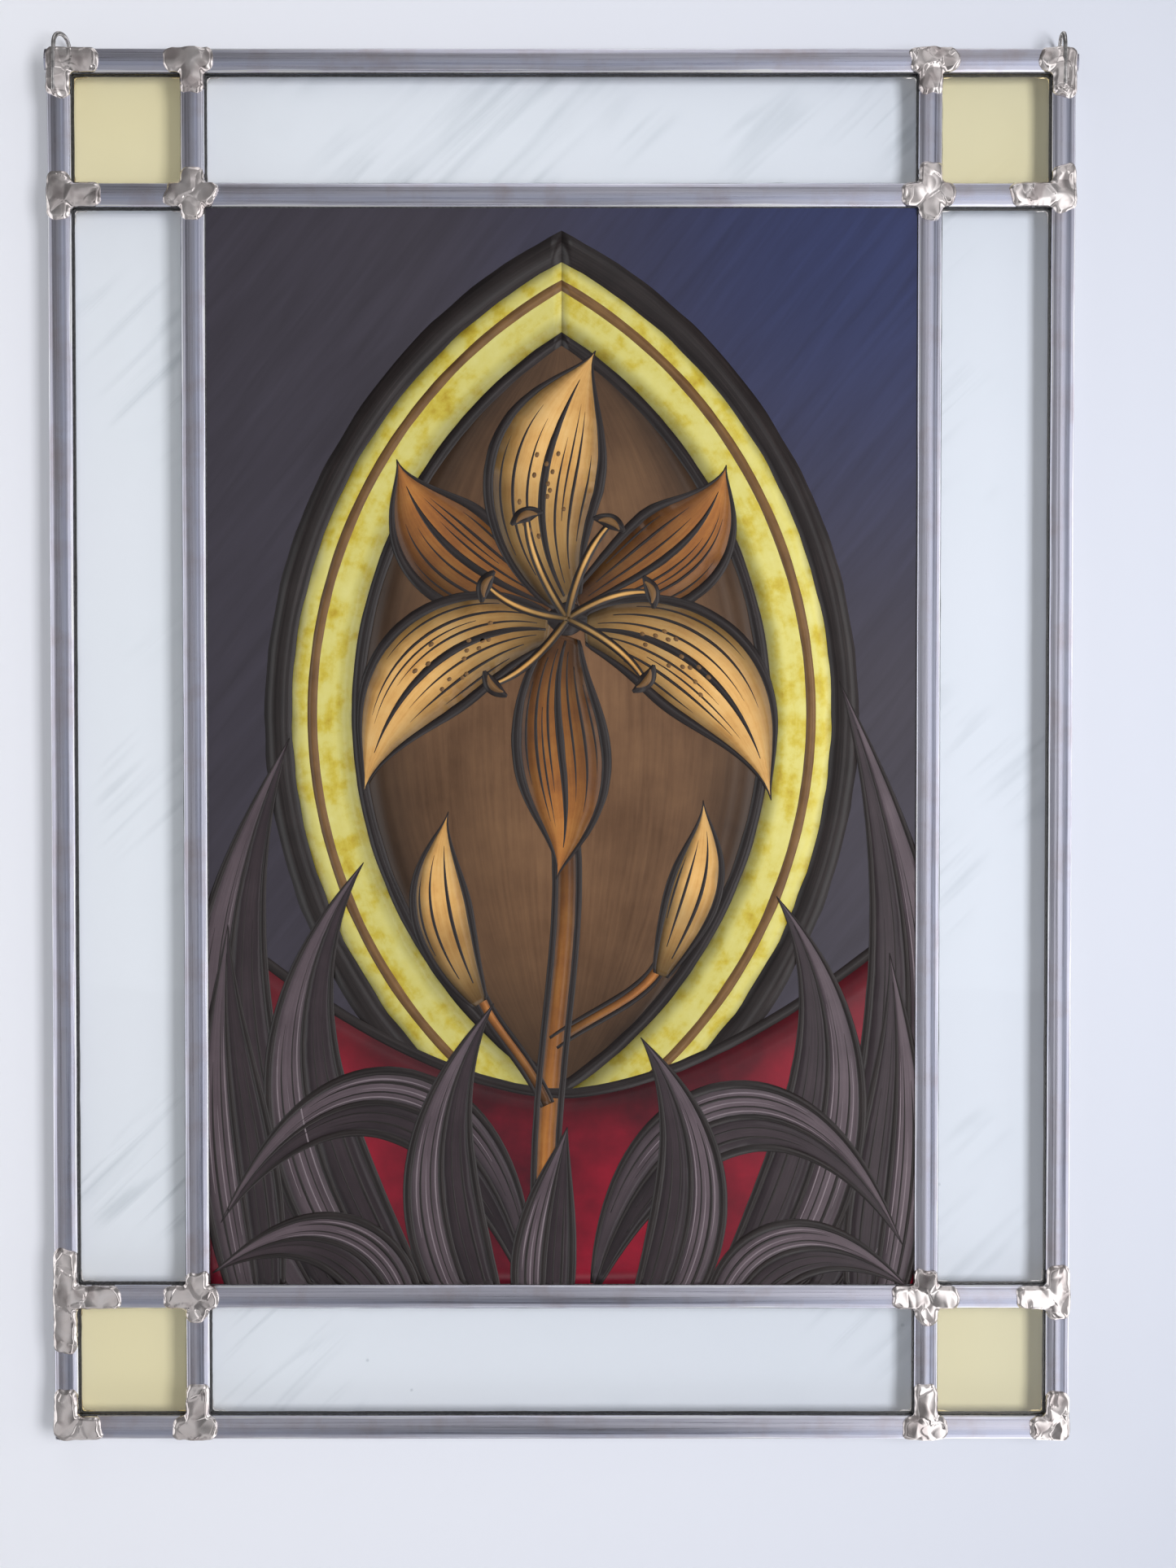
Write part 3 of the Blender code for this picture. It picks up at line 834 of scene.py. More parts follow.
def oval_arc(hand, radius):
    """A route up one side of the pointed oval, from its lower to its upper point."""
    tip = math.acos(OVAL_OFFSET / radius)
    def at(share):
        angle = (2 * share - 1) * tip
        across = radius * math.cos(angle) - OVAL_OFFSET
        return OVAL_CENTRE + Vector((hand * across, radius * math.sin(angle)))
    return at


def ragged(along, seed):
    """The unevenness of a brushed edge, about 1."""
    return 1 + RAGGED * smooth_noise(along, seed, 0.0)


def lay_paint(bm, spot, coat, length, width, steps=28, rows=2):
    """A film of paint on both faces of the pane: spot(s, t) gives its shape in millimetres."""
    global strokes_laid
    strokes_laid += 1
    lift = coat * COAT + strokes_laid % 7 * WET
    for side in (-1, 1):
        def place_paint(s, t):
            point = spot(s, t)
            across = max(-PANE_HALF.x, min(PANE_HALF.x, point.x))
            up = max(-PANE_HALF.y, min(PANE_HALF.y, point.y))
            return pane_middle.x + across, side * (pane_face + lift), pane_middle.z + up
        film = add_sheet(bm, steps, rows, place_paint, (length, width))
        slab(bm, film, (0, -side * (lift + PAINT_ROOT), 0))


def brush(bm, route, width, coat, lane=lambda share: 0.0, span=(0.0, 1.0), steps=28, rows=2):
    """One brush stroke, width(s) wide, that runs lane(share) to the left of its route."""
    def spot(s, t):
        share = span[0] + s * (span[1] - span[0])
        ahead = (route(share + 0.002) - route(share - 0.002)).normalized()
        left = Vector((-ahead.y, ahead.x))
        centre = route(share) + left * lane(share)
        return centre + left * width(s) * (t - 0.5) * ragged(centre.x / 5 + centre.y / 7, round(t) + coat)

    length = sum((route((k + 1) / 8) - route(k / 8)).length for k in range(8)) * (span[1] - span[0])
    lay_paint(bm, spot, coat, length, width(0.5), steps, rows)


def paint_layer():
    """An empty mesh for strokes of one paint, with a place for their shape coordinates."""
    bm = bmesh.new()
    bm.loops.layers.uv.new("UVMap")
    bm.loops.layers.uv.new("shape")
    return bm


def paint_material(name, stops, across_stops=None, streak=0.8, mottle=18.0, gloss=0.4, uneven=0.5):
    """Fired paint: a tone from its stops by brush streaks, shaded across and along the stroke.

    The streaks are as wide as streak and the clouds as large as mottle, in millimetres.
    """
    made, tree, shader = new_material(name)
    grain = add_node(tree, "ShaderNodeUVMap", uv_map="UVMap").outputs["UV"]
    place = add_node(tree, "ShaderNodeTexCoord").outputs["Object"]
    hairs = add_node(
        tree, "ShaderNodeTexNoise",
        {"Vector": add_node(tree, "ShaderNodeMapping", {
            "Vector": grain, "Scale": (0.03, 1 / streak, 1.0)}).outputs["Vector"],
         "Scale": 1.0, "Detail": 4.0, "Roughness": 0.6},
    )
    clouds = add_node(
        tree, "ShaderNodeTexNoise",
        {"Vector": place, "Scale": 1 / (mottle * MM), "Detail": 5.0, "Roughness": 0.6},
    )
    mixed = add_node(
        tree, "ShaderNodeMix",
        {"Factor": uneven, "A": hairs.outputs["Fac"], "B": clouds.outputs["Fac"]},
        data_type="FLOAT",
    )
    tone = set_ramp(
        add_node(tree, "ShaderNodeValToRGB", {"Fac": mixed.outputs["Result"]}),
        [(at, linear(colour)) for at, colour in stops],
    )
    if across_stops:
        shape = add_node(tree, "ShaderNodeUVMap", uv_map="shape").outputs["UV"]
        parts = add_node(tree, "ShaderNodeSeparateXYZ", {"Vector": shape})
        for axis, shade_stops in across_stops.items():
            shade = set_ramp(
                add_node(tree, "ShaderNodeValToRGB", {"Fac": parts.outputs[axis]}),
                [(at, (v, v, v, 1.0)) for at, v in shade_stops], "EASE",
            )
            tone = add_node(
                tree, "ShaderNodeMix", {"Factor": 1.0, "A": tone, "B": shade},
                data_type="RGBA", blend_type="MULTIPLY",
            ).outputs["Result"]
    bump = add_node(tree, "ShaderNodeBump", {
        "Height": hairs.outputs["Fac"], "Strength": 0.5, "Distance": BRUSH_RELIEF * MM})
    set_inputs(shader, {"Base Color": tone, "Normal": bump.outputs["Normal"], "Roughness": gloss})
    return made


# The ground: enamel in slate grey, turning navy in the upper right corner. It is brushed on
# thinly in slants, which leaves long faint streaks and a soft sheen.
slate, tree, shader = new_material("slate_and_navy_enamel")
place = add_node(tree, "ShaderNodeTexCoord").outputs["Object"]
sweep = add_node(
    tree, "ShaderNodeTexNoise",
    {"Vector": add_node(tree, "ShaderNodeMapping", {
        "Vector": place, "Rotation": (0.0, math.radians(GROUND_SLANT), 0.0),
        "Scale": (GROUND_STREAK[0] * MM, 1.0, GROUND_STREAK[1] * MM)},
        vector_type="TEXTURE").outputs["Vector"],
     "Scale": 1.0, "Detail": 6.0, "Roughness": 0.6, "Distortion": 0.4},
).outputs["Fac"]
slate_tone, navy_tone = (
    set_ramp(
        add_node(tree, "ShaderNodeValToRGB", {"Fac": sweep}),
        ((0.3, linear(dark)), (0.7, linear(light))),
    )
    for dark, light in (SLATE, NAVY)
)
corner = add_node(
    tree, "ShaderNodeVectorMath",
    {0: place, 1: Vector(NAVY_CORNER) * MM}, operation="DISTANCE",
)
navy_share = add_node(
    tree, "ShaderNodeMapRange",
    {"Value": corner.outputs["Value"],
     "From Min": NAVY_FADE[0] * MM, "From Max": NAVY_FADE[1] * MM},
    interpolation_type="SMOOTHSTEP",
)
ground_tone = add_node(
    tree, "ShaderNodeMix",
    {"Factor": navy_share.outputs["Result"], "A": slate_tone, "B": navy_tone}, data_type="RGBA",
)
relief = add_node(
    tree, "ShaderNodeBump", {"Height": sweep, "Strength": 0.4, "Distance": GROUND_RELIEF * MM})
set_inputs(shader, {
    "Base Color": ground_tone.outputs["Result"], "Normal": relief.outputs["Normal"],
    "Roughness": 0.34})
pane_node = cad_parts["painted_pane"]
pane_node.data.materials.clear()
pane_node.data.materials.append(slate)

# Silver stain is fired into the glass, so it is smooth and glossy: amber where it lies thick,
# yellow where thin, and darker at throats, tips and edges, where brown matt is left over it.
amber = paint_material(
    "amber_silver_stain", ((0.3, "#bd8440"), (0.5, "#dcaa62"), (0.7, "#e9c07c")),
    {"X": ((0.0, 0.16), (0.3, 0.55), (0.6, 1.0), (1.0, 0.85)),
     "Y": ((0.0, 0.32), (0.3, 0.95), (0.6, 1.0), (1.0, 0.22))},
    streak=1.8, mottle=16.0, gloss=0.26, uneven=0.6,
)
amber_shade = paint_material(
    "amber_stain_in_shade", ((0.3, "#7d4a26"), (0.5, "#a4682f"), (0.7, "#bd8340")),
    {"X": ((0.0, 0.2), (0.4, 0.65), (0.8, 1.0)),
     "Y": ((0.0, 0.4), (0.4, 1.0), (1.0, 0.3))},
    streak=1.8, mottle=16.0, gloss=0.26, uneven=0.6,
)
yellow = paint_material(
    "yellow_silver_stain",
    ((0.3, "#b3951f"), (0.42, "#ccb944"), (0.52, "#d6cc70"), (0.7, "#dcd584")),
    {"X": ((0.0, 0.45), (0.12, 0.85), (0.5, 1.0), (1.0, 0.9)),
     "Y": ((0.0, 0.3), (0.1, 0.55), (0.34, 1.0), (0.85, 1.0), (1.0, 0.6))},
    streak=4.0, mottle=9.0, gloss=0.24, uneven=0.75,
)
# Brown matt is dabbed on dry: a soft velvety tone that is darkest beside the outlines.
brown_matt = paint_material(
    "brown_matt", ((0.3, "#553820"), (0.5, "#715136"), (0.7, "#866343")),
    {"Y": ((0.0, 0.25), (0.22, 0.75), (0.5, 1.0), (0.78, 0.85), (1.0, 0.25)),
     "X": ((0.0, 0.3), (0.25, 0.85), (0.6, 1.0), (1.0, 0.5))},
    streak=2.4, mottle=34.0, gloss=0.32, uneven=0.6,
)
# Violet enamel is thick and streaky from the brush, and ruby is a thin skin of red glass that
# glows in clouds. Leaves in shade have a second coat.
violet = paint_material(
    "violet_enamel", ((0.3, "#43383d"), (0.5, "#564a4f"), (0.7, "#66595e")),
    {"Y": ((0.0, 0.55), (0.4, 1.0), (0.6, 1.0), (1.0, 0.55)), "X": ((0.0, 0.45), (0.5, 1.0))},
    streak=1.0, mottle=22.0, gloss=0.3,
)
violet_shade = paint_material(
    "violet_enamel_in_shade", ((0.3, "#261e22"), (0.5, "#342a2e"), (0.7, "#42373b")),
    {"Y": ((0.0, 0.6), (0.5, 1.0), (1.0, 0.6)), "X": ((0.0, 0.5), (0.5, 1.0))},
    streak=1.0, mottle=22.0, gloss=0.3,
)
ruby = paint_material(
    "ruby_flash", ((0.34, "#3a101a"), (0.5, "#6d1122"), (0.68, "#96152b")),
    {"Y": ((0.0, 1.0), (0.75, 0.9), (1.0, 0.35))},
    streak=9.0, mottle=60.0, gloss=0.26, uneven=0.9,
)
# Tracing paint is a dense line of iron oxide with a low gloss. Highlights are scratched out of
# the violet with a stick, down to a paler film.
black = paint_material(
    "black_tracing_paint", ((0.3, "#161212"), (0.5, "#221c1b"), (0.75, "#352d2c")),
    streak=0.5, mottle=12.0, gloss=0.3, uneven=0.3,
)
umber = paint_material(
    "umber_tracing_paint", ((0.3, "#54391f"), (0.6, "#7a5a34")), streak=1.0, mottle=10.0, gloss=0.34,
)
scratched = paint_material(
    "scratched_highlights", ((0.3, "#6c6065"), (0.7, "#887c80")), streak=0.5, mottle=6.0, gloss=0.4,
)

ruby_layer, matt_layer, band_layer = paint_layer(), paint_layer(), paint_layer()
amber_layer, shade_layer = paint_layer(), paint_layer()
leaf_layer, leaf_shade_layer, scratch_layer = paint_layer(), paint_layer(), paint_layer()
black_layer, umber_layer = paint_layer(), paint_layer()

# The pointed oval: brown matt inside, the yellow band with an umber line, black outlines.
inner_radius = OVAL_OUTER - BAND_WIDTH
inner_half = math.sqrt(inner_radius ** 2 - OVAL_OFFSET ** 2)


def inner_oval(s, t):
    """The fill of the oval inside its band: s runs up it and t across."""
    up = (2 * s - 1) * inner_half
    half = math.sqrt(inner_radius ** 2 - up ** 2) - OVAL_OFFSET
    return OVAL_CENTRE + Vector(((2 * t - 1) * half, up))


# Each line of the oval: its paint, its radius, its width, its coat and its rows of faces.
OVAL_LINES = (
    (band_layer, OVAL_OUTER - BAND_WIDTH / 2, BAND_WIDTH, 2, 4),
    (umber_layer, OVAL_OUTER - UMBER_INSET, 3.4, 3, 1),
    (black_layer, OVAL_OUTER + 4.0, 9.5, 4, 2),
    (black_layer, inner_radius - 1.0, 4.2, 4, 1),
)
lay_paint(matt_layer, inner_oval, 1, 2 * inner_half, 2 * (inner_radius - OVAL_OFFSET), steps=60, rows=12)
for hand in (-1, 1):
    for layer, radius, width, coat, rows in OVAL_LINES:
        lay_paint(
            layer, lambda s, t: oval_arc(hand, radius + width * (t - 0.5) * ragged(s * 40, radius))(s),
            coat, 300, width, steps=90, rows=rows,
        )


def contour(width, start=0.4, end=0.08):
    """The width of an outline: thin at its ends, full in the middle."""
    return lambda s: width * (start + (1 - start) * math.sin(math.pi * s) if s < 0.5
                              else end + (1 - end) * math.sin(math.pi * s))


def petal_form(share):
    """Half the width of a petal as a share of its widest, from its throat to its pointed tip."""
    share = min(1.0, max(0.0, share))
    swell = math.sin(math.pi * share) ** 0.8 * (0.75 + 0.35 * share)
    return (0.26 * (1 - share) ** 2 + swell) * (1 - share ** 7)


def leaf_form(share):
    """Half the width of a leaf as a share of its widest, which lies below its middle."""
    share = min(1.0, max(0.0, share))
    return 0.12 * (1 - share) + math.sin(math.pi * share ** 0.8) ** 1.15


def paint_form(fills, axis, half, form, coat, outline, lines):
    """A petal or leaf: its fills, its black outline, and tracing lines at shares of its width.

    Each fill is a layer, the lane it is laid in and its width, as shares of half the form's width.
    """
    def edge(share):
        return half * form(share)

    for fill, lane, share in fills:
        brush(fill, axis, lambda s: share * edge(s), coat, lane=lambda v: lane * edge(v), rows=4, steps=36)
    for side in (-1, 1):
        brush(black_layer, axis, contour(outline), coat + 1, lane=lambda v: side * edge(v), steps=40)
    for share, width, first, last in lines:
        brush(
            black_layer, axis, contour(width, 0.3, 0.08), coat + 1,
            lane=lambda v: share * edge(v), span=(first, last), steps=24,
        )


# The lily: stem and buds, three petals behind, three in front, freckles and stamens.
LIT_PETAL = ((amber_layer, 0.0, 2.0),)
SHADED_PETAL = ((shade_layer, 0.0, 2.0),)
STEM_WIDTH = 8.0
STALK_WIDTH = 4.0
OUTLINE_OUT = 0.2
stem = bezier((0, -20), (8, -70), (-12, -120), (-4, -200))
brush(shade_layer, stem, lambda s: STEM_WIDTH, 6, steps=40)
for side in (-1, 1):
    brush(
        black_layer, stem, lambda s: 2.2, 7,
        lane=lambda v: side * (STEM_WIDTH / 2 + OUTLINE_OUT), steps=40,
    )
# Each bud: its stalk, its axis and half its width.
BUDS = (
    (bezier((-5, -126), (-14, -106), (-26, -98), (-30, -84)),
     bezier((-29, -90), (-42, -68), (-48, -50), (-40, -22)), 10.0),
    (bezier((-3, -104), (14, -92), (30, -88), (36, -74)),
     bezier((35, -80), (44, -58), (52, -44), (50, -18)), 9.0),
)
# Each tracing line: its place as a share of half the width, its own width, its start and end.
BUD_LINES = ((-0.3, 1.3, 0.1, 0.85), (0.35, 1.0, 0.15, 0.8), (0.75, 0.8, 0.3, 0.7))
for stalk, bud, half in BUDS:
    brush(shade_layer, stalk, lambda s: STALK_WIDTH, 6)
    for side in (-1, 1):
        brush(
            black_layer, stalk, contour(1.7, 0.6, 0.5), 7,
            lane=lambda v: side * (STALK_WIDTH / 2 + OUTLINE_OUT),
        )
    paint_form(LIT_PETAL, bud, half, petal_form, 8, 2.6, BUD_LINES)

VEINS = (
    (0.0, 2.8, 0.02, 0.88), (-0.26, 0.9, 0.06, 0.66), (0.28, 0.9, 0.06, 0.7), (-0.4, 0.7, 0.3, 0.8),
    (-0.55, 1.1, 0.1, 0.78), (0.55, 1.1, 0.12, 0.74), (-0.78, 0.8, 0.2, 0.62), (0.78, 0.8, 0.2, 0.6),
)
BACK_PETALS = (
    (bezier((-2, 50), (-30, 60), (-50, 74), (-58, 102)), 17.0),
    (bezier((6, 50), (30, 62), (52, 72), (58, 100)), 17.0),
    (bezier((2, 40), (-8, 12), (8, -14), (-2, -46)), 16.0),
)
FRONT_PETALS = (
    (bezier((2, 52), (-16, 84), (-4, 112), (12, 140)), 20.0),
    (bezier((8, 42), (34, 44), (66, 26), (74, -18)), 18.0),
    (bezier((-4, 42), (-30, 46), (-62, 28), (-70, -16)), 18.0),
)
FRECKLES = 14
FRECKLED_FROM = 0.24
FRECKLED_LENGTH = 0.36
FRECKLED_WIDTH = 0.75
for axis, half in BACK_PETALS:
    paint_form(SHADED_PETAL, axis, half, petal_form, 10, 3.6, VEINS)
for number, (axis, half) in enumerate(FRONT_PETALS):
    paint_form(LIT_PETAL, axis, half, petal_form, 12, 3.6, VEINS)
    for freckle in range(FRECKLES):
        along = FRECKLED_FROM + FRECKLED_LENGTH * freckle / FRECKLES
        aside = FRECKLED_WIDTH * half * smooth_noise(freckle * 1.7, number * 4.1, 2.5)
        brush(
            umber_layer, axis, contour(1.5, 0.5, 0.5), 13.5, lane=lambda v: aside,
            span=(along, along + 0.02), steps=6, rows=1,
        )

# Each stamen: the way it points, in degrees, and how far it reaches.
STAMENS = ((18, 30), (66, 36), (112, 38), (158, 30), (222, 34), (322, 34))
heart = Vector((2.0, 46.0))
for turn, reach in STAMENS:
    way = Vector((math.cos(math.radians(turn)), math.sin(math.radians(turn))))
    side = Vector((-way.y, way.x))
    thread = bezier(heart, heart + way * reach * 0.6 + side * 5, heart + way * reach)
    brush(black_layer, thread, contour(3.2, 1.0, 0.7), 14)
    brush(amber_layer, thread, contour(1.6, 1.0, 0.6), 15)
    tip = heart + way * reach
    brush(black_layer, bezier(tip - side * 6, tip + way * 3, tip + side * 6), contour(5.4, 0.2, 0.2), 16)
    brush(umber_layer, bezier(tip - side * 4, tip + way * 3, tip + side * 4), contour(2.4, 0.2, 0.2), 17)
brush(black_layer, bezier(heart - Vector((7, 0)), heart + Vector((7, 0))), contour(12, 0.3, 0.3), 13)

# Leaves on ruby: the lower part, swept up from the foot of the pane. Each leaf has a light
# half, a half in shade, a black midrib and veins, and highlights scratched out of the enamel.
RUBY_MIDDLE = -122.0
RUBY_SIDES = 64.0
RUBY_CURVE = 1.7


def ruby_top(share):
    """The upper edge of the ruby on the pane, from its left side at 0 to its right side at 1."""
    across = (2 * share - 1) * PANE_HALF.x
    return Vector((across, RUBY_MIDDLE + RUBY_SIDES * (abs(across) / PANE_HALF.x) ** RUBY_CURVE))


def ruby_fill(s, t):
    """The ruby from the foot of the pane up to its edge."""
    top = ruby_top(s)
    return Vector((top.x, -PANE_HALF.y + t * (top.y + PANE_HALF.y)))


lay_paint(ruby_layer, ruby_fill, 5, 2 * PANE_HALF.x, 80, steps=60, rows=10)
brush(black_layer, ruby_top, lambda s: 3.6, 6, steps=60)
# Each leaf: its axis, half its width, its coat and the side of its light half.
LEAVES = (
    (bezier((-64, -225), (-128, -150), (-130, -70), (-96, 4)), 15.0, 8, 1),
    (bezier((74, -225), (132, -160), (136, -70), (98, 24)), 15.0, 8, -1),
    (bezier((-104, -225), (-112, -160), (-122, -120), (-118, -62)), 12.0, 10, 1),
    (bezier((108, -225), (112, -170), (124, -130), (116, -72)), 12.0, 10, -1),
    (bezier((-34, -225), (-86, -170), (-114, -104), (-70, -40)), 14.5, 10, 1),
    (bezier((42, -225), (88, -176), (114, -108), (76, -52)), 14.5, 10, -1),
    (bezier((-12, -190), (-30, -112), (-84, -104), (-121, -168)), 11.5, 12, -1),
    (bezier((12, -190), (34, -116), (88, -110), (121, -176)), 11.5, 12, 1),
    (bezier((-16, -225), (-46, -180), (-54, -136), (-24, -90)), 12.0, 14, 1),
    (bezier((18, -225), (52, -180), (54, -138), (28, -102)), 11.5, 14, -1),
    (bezier((-56, -225), (-54, -180), (-84, -158), (-124, -186)), 10.5, 16, -1),
    (bezier((54, -225), (58, -176), (90, -164), (124, -192)), 10.5, 16, 1),
    (bezier((-2, -225), (-12, -190), (-4, -160), (2, -134)), 9.5, 16, 1),
)
STREAKS = (
    (0.0, 2.2, 0.0, 0.94), (-0.34, 0.6, 0.15, 0.8), (0.32, 0.6, 0.2, 0.84), (-0.64, 1.2, 0.1, 0.72),
    (0.62, 1.0, 0.12, 0.7),
)
# Each scratched line: its place as a share of half the width, its start and its end.
SCRATCHES = ((0.18, 0.3, 0.78), (0.46, 0.22, 0.6), (0.74, 0.4, 0.68))
for axis, half, coat, light in LEAVES:
    leaf_halves = ((leaf_layer, light * 0.5, 1.0), (leaf_shade_layer, light * -0.5, 1.0))
    paint_form(leaf_halves, axis, half, leaf_form, coat, 3.0, STREAKS)
    for share, first, last in SCRATCHES:
        brush(
            scratch_layer, axis, contour(0.55, 0.2, 0.1), coat + 1.5,
            lane=lambda v: light * share * half * leaf_form(v), span=(first, last), steps=20, rows=1,
        )

for name, layer, paint in (
    ("ruby_ground", ruby_layer, ruby), ("oval_matt", matt_layer, brown_matt),
    ("oval_band", band_layer, yellow), ("lily_petals", amber_layer, amber),
    ("lily_shade", shade_layer, amber_shade), ("leaves", leaf_layer, violet),
    ("leaves_shade", leaf_shade_layer, violet_shade), ("scratched_lines", scratch_layer, scratched),
    ("black_tracing", black_layer, black), ("umber_tracing", umber_layer, umber),
):
    finish_piece("painted_" + name, layer, paint)


# The room
# A white wall close behind the panel, as where it was photographed, a pale floor below, soft
# window light from the right and a dimmer room behind the viewer.

WALL_GAP = 6.8
WALL_AWAY = "#f9fbff"
WALL_BY_WINDOW = "#c9cdd5"
WALL_NEAR_HALF = 220.0
FLOOR_PALE = "#e9ecf2"
STUDIO_REACH = 3000.0
STUDIO_TOP = 2500.0
FLOOR_Z = -900.0
AIR = "#e4e7ee"
LAMP_PLACE = (510.0, -690.0, -250.0)
LAMP_AIM = (0.0, 0.0, -250.0)
LAMP_SIZE = (240.0, 500.0)
LAMP_WATTS = 5.9
ROOM_STRENGTH = 0.46
CEILING = (0.24, 0.48)
CEILING_DIM = 0.36
BESIDE = (0.1, 0.26)
CAMERA_PLACE = (9.3, -419.8, -257.4)
CAMERA_TILT = -0.8
FOCAL_PIXELS = 1455.0
PHOTO_HEIGHT = 1927.0
SENSOR = 36.0


def plain_board(name, low, high, colour):
    """A large flat board of the studio between two corners, in matt paint."""
    made, tree, shader = new_material(name)
    set_inputs(shader, {"Base Color": linear(colour), "Roughness": 0.9, "Specular IOR Level": 0.1})
    bm = bmesh.new()
    upright = high[1] == low[1]
    add_sheet(bm, 1, 1, lambda s, t: (
        low[0] + s * (high[0] - low[0]),
        low[1] if upright else low[1] + t * (high[1] - low[1]),
        low[2] + t * (high[2] - low[2]) if upright else low[2],
    ))
    board = to_object(name, bm, made)
    return board, tree, shader


floor = plain_board(
    "studio_floor", (-STUDIO_REACH, -STUDIO_REACH, FLOOR_Z), (STUDIO_REACH, STUDIO_REACH, FLOOR_Z),
    FLOOR_PALE,
)[0]
floor.visible_glossy = False
wall, tree, shader = plain_board(
    "studio_wall", (-STUDIO_REACH, WALL_GAP, FLOOR_Z), (STUDIO_REACH, WALL_GAP, STUDIO_TOP), WALL_AWAY,
)

# The wall's paint evens out the near window, and from behind the wall doesn't hide the panel.
place = add_node(tree, "ShaderNodeSeparateXYZ", {
    "Vector": add_node(tree, "ShaderNodeTexCoord").outputs["Object"]})
near_window = add_node(
    tree, "ShaderNodeMapRange",
    {"Value": place.outputs["X"],
     "From Min": -WALL_NEAR_HALF * MM, "From Max": WALL_NEAR_HALF * MM})
wall_tone = add_node(
    tree, "ShaderNodeMix",
    {"Factor": near_window.outputs["Result"], "A": linear(WALL_AWAY), "B": linear(WALL_BY_WINDOW)},
    data_type="RGBA",
)
set_inputs(shader, {"Base Color": wall_tone.outputs["Result"]})
facing = add_node(tree, "ShaderNodeNewGeometry")
both = add_node(
    tree, "ShaderNodeMixShader",
    {0: facing.outputs["Backfacing"], 1: shader.outputs["BSDF"],
     2: add_node(tree, "ShaderNodeBsdfTransparent").outputs["BSDF"]},
)
set_inputs(tree.nodes["Material Output"], {"Surface": both.outputs["Shader"]})
wall.visible_diffuse = False
wall.visible_glossy = False
wall.visible_shadow = False

lamp = bpy.data.lights.new("window", "AREA")
lamp.shape = "RECTANGLE"
lamp.size, lamp.size_y = (size * MM for size in LAMP_SIZE)
lamp.energy = LAMP_WATTS
lamp.color = linear("#fbfaff")[:3]
window = bpy.data.objects.new("window", lamp)
window.location = Vector(LAMP_PLACE) * MM
window.rotation_euler = (Vector(LAMP_AIM) * MM - window.location).to_track_quat("-Z", "Y").to_euler()
window.visible_glossy = False
window.visible_transmission = False
bpy.context.scene.collection.objects.link(window)

world = bpy.data.worlds.new("room")
bpy.context.scene.world = world
world.use_nodes = True
tree = world.node_tree
parts = add_node(tree, "ShaderNodeSeparateXYZ", {
    "Vector": add_node(tree, "ShaderNodeTexCoord").outputs["Generated"]})


def grey_ramp(axis, stops):
    """A slightly cool grey by direction along one axis, from -1 to 1."""
    share = add_node(
        tree, "ShaderNodeMapRange", {"Value": parts.outputs[axis], "From Min": -1.0, "From Max": 1.0})
    return set_ramp(
        add_node(tree, "ShaderNodeValToRGB", {"Fac": share.outputs["Result"]}),
        [((at + 1) / 2, (v * 0.99, v * 0.99, v * 1.01, 1.0)) for at, v in stops],
    )


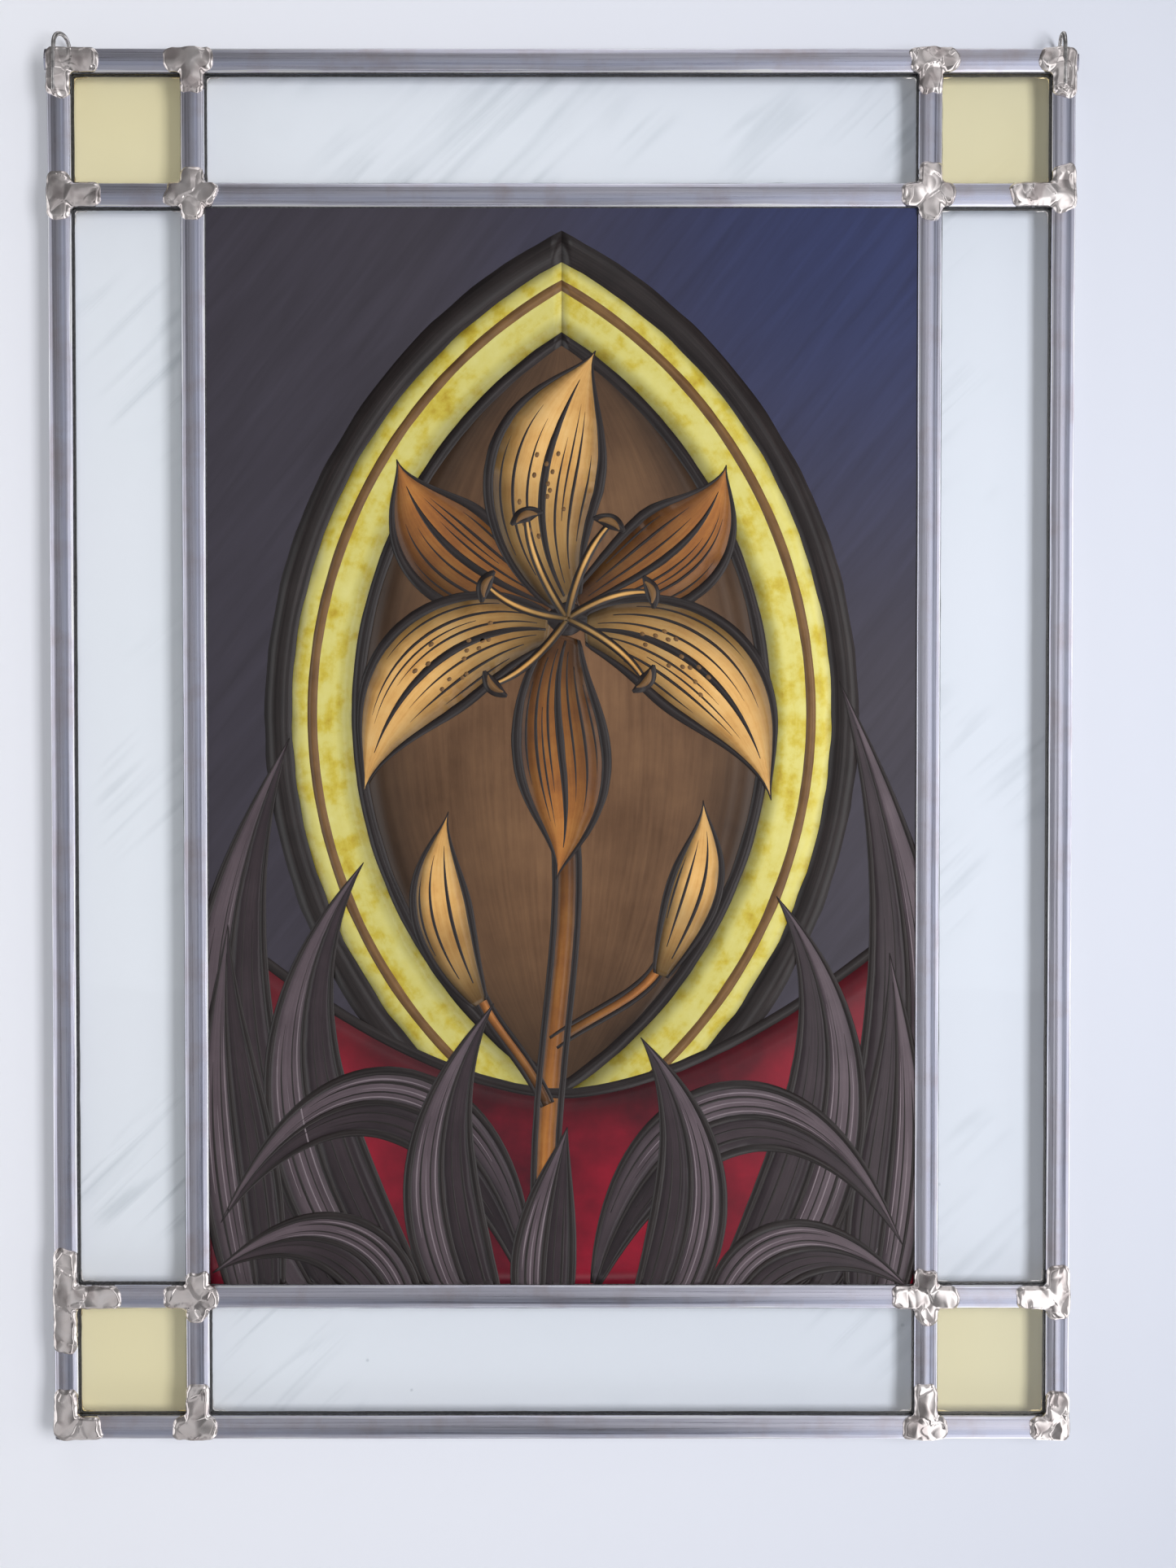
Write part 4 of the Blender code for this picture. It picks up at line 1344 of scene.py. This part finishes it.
# Each stop is a direction and how bright the room is there. Bright windows stand beside dark
# parts of the room, as the lead shows them, and towards the ceiling the side walls dim.
sideways = grey_ramp("X", (
    (-1.0, 1.0), (-0.98, 1.2), (-0.95, 3.0), (-0.84, 2.7), (-0.76, 0.5), (-0.55, 0.5), (-0.44, 0.75),
    (-0.36, 1.2), (-0.22, 1.0), (0.14, 1.0), (0.24, 3.8), (0.34, 3.8), (0.42, 2.0), (0.5, 0.8), (0.74, 0.7),
    (0.82, 3.4), (0.95, 3.8), (0.98, 1.4), (1.0, 1.0),
))
upward = grey_ramp("Z", (
    (-1.0, 0.6), (-0.98, 0.8), (-0.94, 1.8), (-0.86, 1.6), (-0.78, 0.15), (-0.44, 0.15), (-0.38, 0.3),
    (-0.2, 0.8), (0.2, 0.9), (0.34, 1.1), (0.43, 1.5), (0.52, 0.75), (0.78, 0.6), (0.86, 2.6),
    (0.95, 2.8), (0.98, 1.2), (1.0, 1.0),
))
under_ceiling = add_node(
    tree, "ShaderNodeMapRange",
    {"Value": parts.outputs["Z"], "From Min": CEILING[0], "From Max": CEILING[1],
     "To Min": 1.0, "To Max": CEILING_DIM},
)
sideways = add_node(
    tree, "ShaderNodeVectorMath", {0: sideways, "Scale": under_ceiling.outputs["Result"]},
    operation="SCALE",
).outputs["Vector"]
beside = add_node(
    tree, "ShaderNodeMapRange",
    {"Value": add_node(
        tree, "ShaderNodeMath", {0: parts.outputs["X"]}, operation="ABSOLUTE").outputs["Value"],
     "From Min": BESIDE[0], "From Max": BESIDE[1]},
)
both_ways = add_node(
    tree, "ShaderNodeMix", {"Factor": beside.outputs["Result"], "A": upward, "B": sideways},
    data_type="RGBA",
)
room_light = add_node(
    tree, "ShaderNodeBackground", {"Color": both_ways.outputs["Result"], "Strength": ROOM_STRENGTH})
plain_air = add_node(tree, "ShaderNodeBackground", {"Color": linear(AIR), "Strength": 1.0})
path = add_node(tree, "ShaderNodeLightPath")
seen = add_node(
    tree, "ShaderNodeMath",
    {0: path.outputs["Is Camera Ray"], 1: path.outputs["Is Transmission Ray"]}, operation="MAXIMUM",
)
whole_room = add_node(
    tree, "ShaderNodeMixShader",
    {0: seen.outputs["Value"], 1: room_light.outputs["Background"],
     2: plain_air.outputs["Background"]},
)
set_inputs(tree.nodes["World Output"], {"Surface": whole_room.outputs["Shader"]})

camera = bpy.data.cameras.new("camera")
camera.sensor_width = camera.sensor_height = SENSOR
camera.sensor_fit = "VERTICAL"
camera.lens = FOCAL_PIXELS / PHOTO_HEIGHT * SENSOR
camera.clip_start = 0.01
viewer = bpy.data.objects.new("camera", camera)
viewer.location = Vector(CAMERA_PLACE) * MM
viewer.rotation_euler = (math.radians(90 + CAMERA_TILT), 0, 0)
bpy.context.scene.collection.objects.link(viewer)
bpy.context.scene.camera = viewer
bpy.context.scene.view_settings.view_transform = "Standard"
